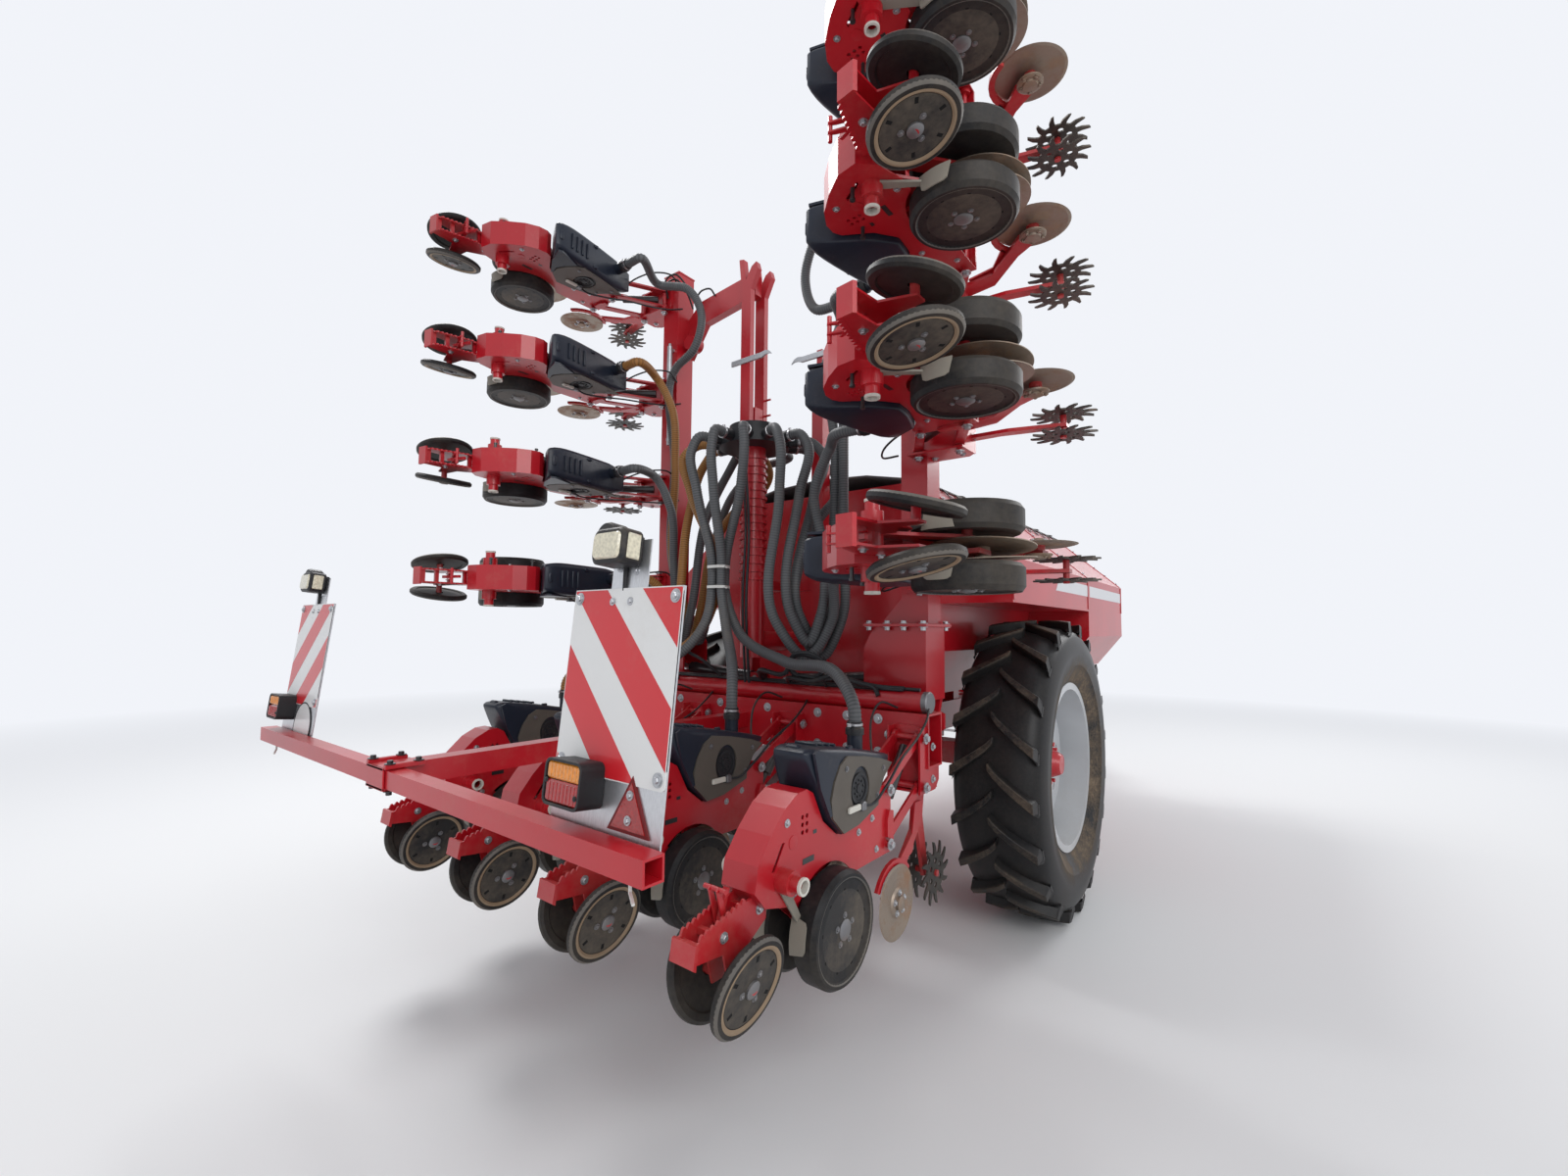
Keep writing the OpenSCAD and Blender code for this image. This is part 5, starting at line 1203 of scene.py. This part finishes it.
def rows():
    gauge_face, gauge_dark, gauge_hub, gauge_edge = gauge_faces()
    close_face, close_dark, close_ring, close_sheen_edge, close_hub = closing_faces()
    white, grey = connector()
    # Near-black plates in the wheels' faces stand for the shade inside their slots: painted shade
    hole = extra("hole_black", plastic, (0.004, 0.004, 0.004), "chassis", 0.8, 0.0)
    for group, body in BODIES.items():
        face, cream, sheen_edge = (row_look(name, group) for name in ("wheel_face", "cream", "worn_rubber"))
        items = [
            (gauge_face, "gauge_faces", "press_rubber", face),
            (gauge_dark, "gauge_slots", "press_rubber", hole),
            (gauge_hub, "gauge_hubs", "cast_grey", None),
            # Edge rings of the wheels in a lighter grey: painted sheen
            (gauge_edge, "gauge_edges", "press_rubber", sheen_edge),
            (close_face, "closing_faces", "press_rubber", face),
            (close_dark, "closing_slots", "press_rubber", hole),
            (close_ring, "closing_rings", "press_rubber", row_look("ring_tan", group)),
            (close_sheen_edge, "closing_sheen_edges", "press_rubber", sheen_edge),
            (close_hub, "closing_hubs", "cast_grey", None),
            (row_bolts(), "row_bolts", "galvanised", None),
            (pivot_rings(), "pivot_rings", "galvanised", cream),
            (scrapers(), "scrapers", "black_plastic", row_look("scraper_beige", group)),
            (meter_plate(), "meter_plates", "meter_plastic", row_look("meter_taupe", group)),
            (meter_cover(), "meter_covers", "meter_plastic", None),
            (meter_shell(), "meter_shells", "meter_plastic", None),
            (meter_inside(), "meter_insides", "black_plastic", None),
            (white, "white_connectors", "black_plastic", cream),
            (grey, "grey_plugs", "cast_grey", None),
            (arm_fittings(), "arm_fittings", "red_paint", None),
            (red_fittings(), "red_fittings", "red_paint", None),
            (black_fittings(), "black_fittings", "cylinder_black", None),
            (coulter_hub(), "coulter_hubs", "disc_steel", None),
        ]
        for form, name, slot, material in items:
            item = form.placed(row_places(group)).piece(f"{name}_{group}", body, slot, material)
            if name == "meter_shells":
                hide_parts(group + "_row_meters")
        row_cables(group, body)


# Warning boards: each is built from its own left lower corner, with the forward lean
BOARD_W, PLATE_TOP, STRIPE_LOW, STRIPE = 0.423, 0.646, 0.178, 0.140
STRIPE_EDGE = 0.003
BOARD_LEFT = {1: 0.927, -1: -1.350}
BOARD_FOOT = (-4.132, 1.220)
BOARD_LEAN = math.radians(-6)
REAR = (0, -1, 0)


def board_place(side):
    return Matrix.Translation((BOARD_LEFT[side], *BOARD_FOOT)) @ Matrix.Rotation(BOARD_LEAN, 4, "X")


# Part of a flat polygon on the kept side of a line x or z = limit
def clipped(poly, axis, limit, sign):
    out = []
    for a, b in zip(poly, poly[1:] + poly[:1]):
        da, db = sign * (a[axis] - limit), sign * (b[axis] - limit)
        if da >= 0:
            out.append(a)
        if da * db < 0:
            t = da / (da - db)
            out.append((a[0] + t * (b[0] - a[0]), a[1] + t * (b[1] - a[1])))
    return out


def rounded(x0, x1, z0, z1, r, steps=5):
    loop = []
    corners = ((x1 - r, z1 - r, 0), (x0 + r, z1 - r, 90), (x0 + r, z0 + r, 180), (x1 - r, z0 + r, 270))
    for cx, cz, turn in corners:
        angles = [math.radians(turn + 90 * k / steps) for k in range(steps + 1)]
        loop += [(cx + r * math.cos(a), cz + r * math.sin(a)) for a in angles]
    return loop


def film(name, colour):
    material, tree, shader, place = start(name)
    cells = put(tree, "TexVoronoi", Vector=place, Scale=420.0, settings={"feature": "DISTANCE_TO_EDGE"})
    edge = spread(tree, cells, 0.0, 0.08, 0.86, 1.0)
    dirt = dust_mask(tree, place, "chassis", 0.28)
    base = mixed(tree, edge, shade(colour, 0.72), colour)
    base = mixed(tree, dirt, base, DUST)
    finish_with(tree, shader, Base_Color=base, Roughness=0.32, Coat_Weight=0.3,
                Normal=bump(tree, cells, 0.0002, 0.25))
    return material


# White sheet and its slanting red stripes, mirrored on the left board
def stripes(side):
    white, red, height = Form(), Form(), PLATE_TOP - STRIPE_LOW
    white.rear_plate(rounded(0.0, BOARD_W, STRIPE_LOW, PLATE_TOP, 0.012), 0.0024, 0.0059)
    limits = ((0, STRIPE_EDGE, 1), (0, BOARD_W - STRIPE_EDGE, -1),
              (1, STRIPE_LOW + STRIPE_EDGE, 1), (1, PLATE_TOP - STRIPE_EDGE, -1))
    for k in range(-4, 4, 2):
        u0 = -0.005 + k * STRIPE
        u1 = u0 + STRIPE
        band = [(u0, PLATE_TOP), (u1, PLATE_TOP), (u1 + height, STRIPE_LOW), (u0 + height, STRIPE_LOW)]
        for limit in limits:
            band = clipped(band, *limit) if len(band) > 2 else band
        if len(band) > 2:
            red.rear_plate(band if side > 0 else [(BOARD_W - x, z) for x, z in band], 0.0018, 0.0026)
    return white, red


# Tail lamp: black housing, amber upper and red lower lens with ribs
LAMP_SIZE = 0.150
LAMP_Z = (0.104, 0.216)


def tail_lamp(x0):
    housing, amber, ruby = Form(), Form(), Form()
    x1, (z0, z1) = x0 + LAMP_SIZE, LAMP_Z
    outer = rounded(x0, x1, z0, z1, 0.020)
    inner = rounded(x0 + 0.007, x1 - 0.007, z0 + 0.007, z1 - 0.007, 0.014)
    n = len(outer)
    shell = ((outer, 0.005), (outer, -0.066), (inner, -0.066), (inner, -0.056), (inner, 0.005))
    faces = [(k + i, k + (i + 1) % n, k + n + (i + 1) % n, k + n + i)
             for k in range(0, 4 * n, n) for i in range(n)]
    faces.append(tuple(range(n)))
    housing.add([(x, y, z) for loop, y in shell for x, z in loop], faces)
    housing.rear_plate(rounded(x0 + 0.006, x1 - 0.006, z0 + 0.006, z1 - 0.006, 0.014), -0.050, 0.004)
    middle = (z0 + z1) / 2 + 0.006
    for form, low, high in ((amber, middle + 0.001, z1 - 0.008), (ruby, z0 + 0.008, middle - 0.001)):
        form.stack([[(x, y, z) for x, z in rounded(x0 + d, x1 - d, low + e, high - e, 0.006)]
                    for y, d, e in ((-0.050, 0.008, 0.0), (-0.060, 0.008, 0.0), (-0.064, 0.013, 0.004))])
        for k in range(1, 9):
            x = x0 + 0.010 + k * 0.0145
            form.block((x, -0.0655, low + 0.005), (x + 0.004, -0.062, high - 0.005), 0.0008)
    housing.bolt((x1 - 0.016, -0.064, z0 + 0.030), REAR, 0.007, 0.003)
    housing.bolt((x0 + 0.012, -0.064, z0 + 0.058), REAR, 0.007, 0.003)
    return housing, amber, ruby


# Triangular reflector: dark rim, red field and two bolts
def triangle(x0, z0):
    border, field, bolts = Form(), Form(), Form()
    w, h = 0.150, 0.130
    middle = x0 + w / 2
    border.rear_plate([(x0, z0), (x0 + w, z0), (middle, z0 + h)], 0.0012, 0.0058)
    corners = [(x0 + 0.014, z0 + 0.008), (x0 + w - 0.014, z0 + 0.008), (middle, z0 + h - 0.016)]
    field.rear_plate(corners, -0.0008, 0.0014)
    for z in (0.030, 0.086):
        bolts.bolt((middle, -0.0008, z0 + z), REAR, 0.012, 0.006)
    return border, field, bolts


# Blank round sign with its black rim
def round_sign():
    disc, rim = Form(), Form()
    centre, radius = (0.285, 0.0050, 0.085), 0.104
    disc.turned(centre, REAR, [(radius, 0), (radius, 0.003), (0.0, 0.003)], 64)
    profile = [(radius, 0), (radius + 0.006, 0), (radius + 0.006, 0.0034), (radius, 0.0034)]
    rim.turned(centre, REAR, profile, 64, closed=True)
    return disc, rim


# Work lamp above the board: housing with its round back, ribs and stalk, and its glass
def work_lamp():
    body, glass = Form(), Form()
    body.stack([[(x, y, z) for x, z in rounded(0.135 + d, 0.262 - d, 0.698 + d, 0.790 - d, 0.022)]
                for y, d in ((-0.060, 0.006), (-0.054, 0.0), (0.000, 0.0), (0.010, 0.010))])
    body.turned((0.175, -0.052, 0.770), (0, 1, 0), mm((36, 0), (40, 10), (40, 50), (30, 62)), 28)
    for k in range(5):
        x = 0.150 + 0.022 * k
        body.block((x, 0.004, 0.712), (x + 0.005, 0.020, 0.778), 0.001)
    body.rod((0.200, 0.004, 0.700), (0.200, 0.008, 0.640), 0.006)
    glass.stack([[(x, y, z) for x, z in rounded(0.146 + d, 0.251 - d, 0.709 + d, 0.779 - d, 0.014)]
                 for y, d in ((-0.058, 0.0), (-0.066, 0.004))])
    glass.block((0.2600, -0.048, 0.712), (0.2665, -0.008, 0.776), 0.003)
    return body, glass


# Corner bolts with washers on the striped sheet, then the bolts of the upright behind it
def board_bolts():
    bolts = Form()
    for x in (0.024, 0.399):
        for z in (0.622, 0.202):
            bolts.turned((x, 0.0026, z), REAR, mm((17, 0), (17, 2), (0, 2)), 24)
            bolts.bolt((x, 0.0008, z), REAR, 0.014, 0.006)
    for x, y, z in mm((165, 2.4, 612), (235, 2.4, 612), (170, 11, 700), (235, 11, 690)):
        bolts.bolt((x, y, z), REAR, 0.011, 0.005)
    return bolts


def boards():
    white_film = film("film_white", (0.74, 0.74, 0.73))
    red_film = film("film_red", (0.60, 0.012, 0.020))
    amber = extra("lens_amber", lens, (0.85, 0.30, 0.03))
    ruby = extra("lens_red", lens, (0.42, 0.012, 0.012))
    clear = extra("lens_clear", lens, (0.80, 0.74, 0.56))
    for side, name, lamp_x in ((1, "right", 0.060), (-1, "left", 0.012)):
        place = [board_place(side)]
        white, red = stripes(side)
        housing, top_lens, low_lens = tail_lamp(lamp_x)
        body, glass = work_lamp()
        pieces = [
            (white, "stripe_sheet", "board_aluminium", white_film),
            (red, "red_stripes", "board_aluminium", red_film),
            (board_bolts(), "board_bolts", "galvanised", None),
            (top_lens, "amber_lens", "lamp_lens", amber),
            (low_lens, "red_lens", "lamp_lens", ruby),
            (glass, "work_lamp_glass", "lamp_lens", clear),
        ]
        if side > 0:
            border, field, studs = triangle(0.240, 0.070)
            dark_red = extra("reflector_rim", plastic, (0.16, 0.012, 0.014), "chassis", 0.5, 0.2)
            pieces += [(border, "triangle_rim", "lamp_lens", dark_red),
                       (field, "triangle_field", "lamp_lens", ruby),
                       (studs, "triangle_bolts", "galvanised", None)]
        else:
            disc, rim = round_sign()
            pieces += [(disc, "blank_round_sign", "board_aluminium", white_film),
                       (rim, "sign_rim", "lamp_black", None)]
        for form, label, slot, material in pieces:
            form.placed(place).piece(f"{label}_{name}", "chassis", slot, material)
        lamp = housing.placed(place).piece("lamp_housing_" + name, "chassis", "lamp_black", bevel=0.002)
        worker = body.placed(place).piece("work_lamp_" + name, "chassis", "lamp_black", bevel=0.002)
    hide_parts("tail_lamps")
    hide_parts("work_lamps")


def crossbar_hooks():
    hooks = Form()
    for x in (1.290, -1.290):
        hooks.rod((x, -4.150, 1.222), (x, -4.150, 1.180), 0.004)
        hooks.rod((x, -4.150, 1.181), (x + 0.030, -4.165, 1.166), 0.004)
    hooks.piece("white_hooks", "chassis", "galvanised", extra("tie_white", plastic, TIE_WHITE))


# Hopper's sides: the bevel runs down from the mouth's edge, and away points out of it
MOUTH_EDGE = Vector((MOUTH_HALF, 0, MOUTH_Z))
SLOPE = Vector((HOPPER_HALF - MOUTH_HALF, 0, EAVE_Z - MOUTH_Z)).normalized()
AWAY = Vector((-SLOPE.z, 0, SLOPE.x))
SIDES = [(s, Matrix.Scale(s, 4, (1, 0, 0))) for s in (-1, 1)]


def silver_band():
    band = Form()
    front = HOPPER_Y1 - 0.004
    outline = [(-0.670, 2.038), (front, 2.038), (front, 2.123), (-0.585, 2.123)]
    for s, _ in SIDES:
        band.side_plate(outline, s * (HOPPER_HALF - 0.001), s * (HOPPER_HALF + 0.0012))
    band.piece("silver_band", "chassis", "red_paint", extra("silver_film", film, (0.62, 0.63, 0.65)))


# Seam strips over the bevel and down the wall, with their bolts
SEAMS = ((0.236, 0.284), (HOPPER_Y1 - 0.030, HOPPER_Y1 - 0.002), (HOPPER_Y0 + 0.002, HOPPER_Y0 + 0.030))
SEAM_THICK, SEAM_FOOT = 0.005, 1.940


def hopper_seams():
    seam, bolts = Form(), Form()
    a, b = MOUTH_EDGE + SLOPE * 0.02, MOUTH_EDGE + SLOPE * 0.742
    over = [a, b, b + AWAY * SEAM_THICK, a + AWAY * SEAM_THICK]
    low = [(HOPPER_HALF, SEAM_FOOT), (HOPPER_HALF + SEAM_THICK, SEAM_FOOT),
           (HOPPER_HALF + SEAM_THICK, EAVE_Z), (HOPPER_HALF, EAVE_Z)]
    for _, flip in SIDES:
        for y0, y1 in SEAMS:
            seam.stack([[flip @ Vector((c.x, y, c.z)) for c in over] for y in (y0, y1)])
            seam.stack([[flip @ Vector((x, y, z)) for x, z in low] for y in (y0, y1)])
            for k in range(6):
                p = MOUTH_EDGE + SLOPE * (0.07 + 0.125 * k) + AWAY * SEAM_THICK
                bolts.bolt(flip @ Vector((p.x, (y0 + y1) / 2, p.z)), flip.to_3x3() @ AWAY, 0.016, 0.008)
    seam.piece("hopper_seams", "chassis", "red_paint", bevel=0.0015)
    bolts.piece("hopper_bolts", "chassis", "galvanised")


# Straps that pull the tarp down, each with its hook
STRAPS, STRAP_HALF, HOOK_HALF, STRAP_INSET = 15, 0.012, 0.016, 0.10


def tarp_straps():
    straps, hooks = Form(), Form()
    a = MOUTH_EDGE + SLOPE * 0.016 + AWAY * 0.010
    b = MOUTH_EDGE + SLOPE * 0.085 + AWAY * 0.004
    c, d = b - SLOPE * 0.004, b + SLOPE * 0.022
    strap = [a, b, b + AWAY * 0.006, a + AWAY * 0.006]
    hook = [c - AWAY * 0.004, d - AWAY * 0.004, d + AWAY * 0.012, c + AWAY * 0.010]
    pitch = (HOPPER_Y1 - HOPPER_Y0 - 2 * STRAP_INSET) / (STRAPS - 1)
    for _, flip in SIDES:
        for k in range(STRAPS):
            y = HOPPER_Y0 + STRAP_INSET + k * pitch
            for form, corners, half in ((straps, strap, STRAP_HALF), (hooks, hook, HOOK_HALF)):
                edges = (y - half, y + half)
                form.stack([[flip @ Vector((q.x, edge, q.z)) for q in corners] for edge in edges])
    straps.piece("tarp_straps", "chassis", "black_plastic")
    hooks.piece("tarp_hooks", "chassis", "bare_steel", bevel=0.001)


# Bows under the tarp, which show as ribs across it
BOWS, BOW_PITCH, BOW_HALF, BOW_HEIGHT = 7, 0.44, 0.022, 0.010


def tarp_bows():
    bows = Form()
    arch = mm((-757, 11.5), (-380, 87.5), (0, 111.5), (380, 87.5), (757, 11.5))
    profile = [(x, MOUTH_Z + z) for x, z in arch] + [(x, MOUTH_Z + z + BOW_HEIGHT) for x, z in reversed(arch)]
    for k in range(BOWS):
        y = HOPPER_Y0 + 0.25 + k * BOW_PITCH
        bows.rear_plate(profile, y - BOW_HALF, y + BOW_HALF)
    bows.piece("tarp_bows", "chassis", "tarp", bevel=0.004)


# Cables and thin hydraulic hoses on the chassis: radius, and a given way, in millimetres
CABLES = [
    (9, [(-1080, -2262, 1478), (-550, -2255, 1479), (100, -2266, 1478), (1080, -2258, 1478)]),
    (7, [(-1000, -2285, 1472), (-300, -2280, 1474), (250, -2288, 1471), (1000, -2282, 1473)]),
    (13, [(100, -2262, 1470), (200, -2400, 1540), (400, -2430, 1540), (450, -2435, 1625), (550, -2430, 1640),
          (630, -2405, 1590), (570, -2385, 1525), (450, -2390, 1520), (400, -2410, 1570), (470, -2430, 1630),
          (570, -2425, 1625), (680, -2380, 1540), (840, -2290, 1485), (1000, -2264, 1478)]),
    (12, [(300, -2270, 1472), (400, -2400, 1510), (550, -2400, 1500), (640, -2370, 1530), (760, -2320, 1500),
          (860, -2300, 1470), (880, -2310, 1440)]),
    (12, [(340, -2265, 1474), (420, -2380, 1525), (580, -2380, 1512), (700, -2330, 1515), (800, -2290, 1484),
          (960, -2272, 1478)]),
    (8, [(560, -2290, 1465), (600, -2390, 1560), (670, -2420, 1590), (720, -2310, 1455)]),
    (10, [(-200, -2262, 1470), (-300, -2400, 1600), (-440, -2470, 1650), (-560, -2430, 1560),
          (-550, -2305, 1450)]),
    (8, [(-620, -2290, 1465), (-660, -2390, 1550), (-740, -2400, 1575), (-780, -2310, 1455)]),
    (8, [(50, -2320, 1460), (60, -2365, 1900), (70, -2360, 2300), (50, -2375, 2740)]),
    (7, [(20, -2320, 1460), (40, -2372, 1950), (50, -2366, 2350), (30, -2378, 2740)]),
]


def cables():
    lines = {}
    for radius, way in CABLES:
        lines.setdefault(radius, []).append(smooth_line(mm(*way), 10))
    for k, (radius, group) in enumerate(sorted(lines.items())):
        tube(f"cables_{k}", group, radius / 1000, "chassis", "black_plastic", sides=8)


# Clamp that holds the crossbar to the rear beam, with studs
def crossbar_clamp():
    clamp, studs = Form(), Form()
    clamp.block((-0.070, -4.200, 1.212), (0.070, -4.193, 1.288), 0.002)
    for s in (-1, 1):
        clamp.side_block(s, (0.062, -4.198, 1.282), (0.082, -4.070, 1.300), 0.003)
    for x in (-0.072, 0.072):
        for y in (-4.180, -4.090):
            studs.bolt((x, y, 1.300), (0, 0, 1), 0.018, 0.011)
            studs.bolt((x, y, 1.212), (0, 0, -1), 0.018, 0.013)
    clamp.piece("crossbar_clamp", "chassis", "red_paint")
    studs.piece("clamp_bolts", "chassis", "cylinder_black")


# Pegs on the masts, and the hook bars with a bent tip
PEGS = [(-0.236, -0.190, -1.856, z) for z in (3.304, 3.197, 3.117)]
PEGS += [(0.231, 0.185, -1.928, z) for z in (3.215, 3.139, 2.817)]
HOOK_BARS = ((-0.392, -0.128, -2.024, 3.535, 1), (0.138, 0.402, -1.952, 3.458, -1))
HOOK_TIP = mm((-4, 6.5, 0, 18), (30, 5.5, 10, 14), (58, 4, 6, 9), (80, 2, -10, 3))


def mast_fittings():
    pegs, hooks = Form(), Form()
    for x0, x1, y, z in PEGS:
        pegs.rod((x0, y, z), (x1, y, z), 0.007)
    for x0, x1, y, z, tip in HOOK_BARS:
        hooks.block((x0, y - 0.007, z - 0.019), (x1, y + 0.007, z + 0.019), 0.003)
        end = x1 if tip > 0 else x0
        rings = []
        for dx, w, h, t in HOOK_TIP:
            corners = ((-w, -t), (w, -t), (w, t), (-w, t))
            rings.append([(end + tip * dx, y + dy, z + h + dz) for dy, dz in corners])
        hooks.stack(rings)
    pegs.piece("mast_pegs", "chassis", "red_paint")
    hooks.piece("mast_hooks", "chassis", "galvanised")


# Bolts on the toolbar and the grey caps of its pipe
def toolbar_fittings():
    caps, bolts = Form(), Form()
    for s in (-1, 1):
        caps.turned((s * 1.125, -2.258, 1.419), (s, 0, 0), mm((53, -20), (53, 4), (47, 10), (0, 11)), 32)
        for x in (0.88, 0.70, 0.52, 0.18):
            for z in (1.170, 1.330):
                bolts.bolt((s * x, -2.310, z), REAR, 0.026, 0.015)
    caps.piece("pipe_caps", "chassis", "cast_grey")
    bolts.piece("toolbar_bolts", "chassis", "galvanised")


# Rim and bolts of the hinge box's flange
FLANGE_X = (0.715, 1.074)
FLANGE_Y = (-2.176, -1.863)
FLANGE_Z = (1.782, 1.798)


def wing_flanges():
    for side, name in ((1, "right"), (-1, "left")):
        rim, bolts = Form(), Form()
        rim.side_block(side, *zip(FLANGE_X, FLANGE_Y, FLANGE_Z), 0.002)
        for x in (0.740, 0.848, 0.942, 1.050):
            for y in (FLANGE_Y[0] + 0.021, FLANGE_Y[1] - 0.021):
                bolts.bolt((side * x, y, FLANGE_Z[0]), (0, 0, -1), 0.024, 0.018)
                bolts.bolt((side * x, y, FLANGE_Z[1]), (0, 0, 1), 0.024, 0.014)
        rim.piece("flange_rim_" + name, "wing_" + name, "red_paint")
        bolts.piece("flange_bolts_" + name, "wing_" + name, "galvanised")


# Hydraulic pipe with its clips on the left wing, and cable loops beside that wing's arm
PIPE_X, PIPE_Y = -0.925, -2.100
ARM_CABLES = [
    mm((-985, -2085, 4190), (-950, -2130, 4270), (-870, -2120, 4290), (-810, -2060, 4210),
       (-790, -2000, 4110)),
    mm((-975, -2085, 4160), (-930, -2140, 4230), (-850, -2130, 4240), (-800, -2060, 4150),
       (-800, -2000, 4060)),
    mm((-790, -2000, 4110), (-740, -1975, 4190), (-670, -1965, 4185), (-620, -1962, 4120)),
]


def left_wing_lines():
    pipe = Form()
    pipe.rod((PIPE_X, PIPE_Y, 3.060), (PIPE_X, PIPE_Y, 3.800), 0.011)
    pipe.rod((PIPE_X, PIPE_Y, 3.420), (PIPE_X, PIPE_Y, 3.780), 0.018, 16)
    for z in (3.100, 3.380, 3.760):
        low = (PIPE_X - 0.010, PIPE_Y - 0.012, z - 0.010)
        high = (PIPE_X + 0.010, PIPE_Y + 0.037, z + 0.010)
        pipe.block(low, high, 0.002)
    pipe.piece("steel_pipe_left", "wing_left", "galvanised")
    lines = [smooth_line(way, 8) for way in ARM_CABLES]
    tube("arm_cables_left", lines, 0.0065, "wing_left", "black_plastic", sides=8)


camera()
studio_floor()
studio_light()
dress_nodes()
road_tyres()
hoses()
hose_ties()
hose_cuffs()
head_clamps()
rows()
boards()
crossbar_hooks()
silver_band()
hopper_seams()
tarp_straps()
tarp_bows()
cables()
crossbar_clamp()
mast_fittings()
toolbar_fittings()
wing_flanges()
left_wing_lines()

bpy.context.view_layer.update()
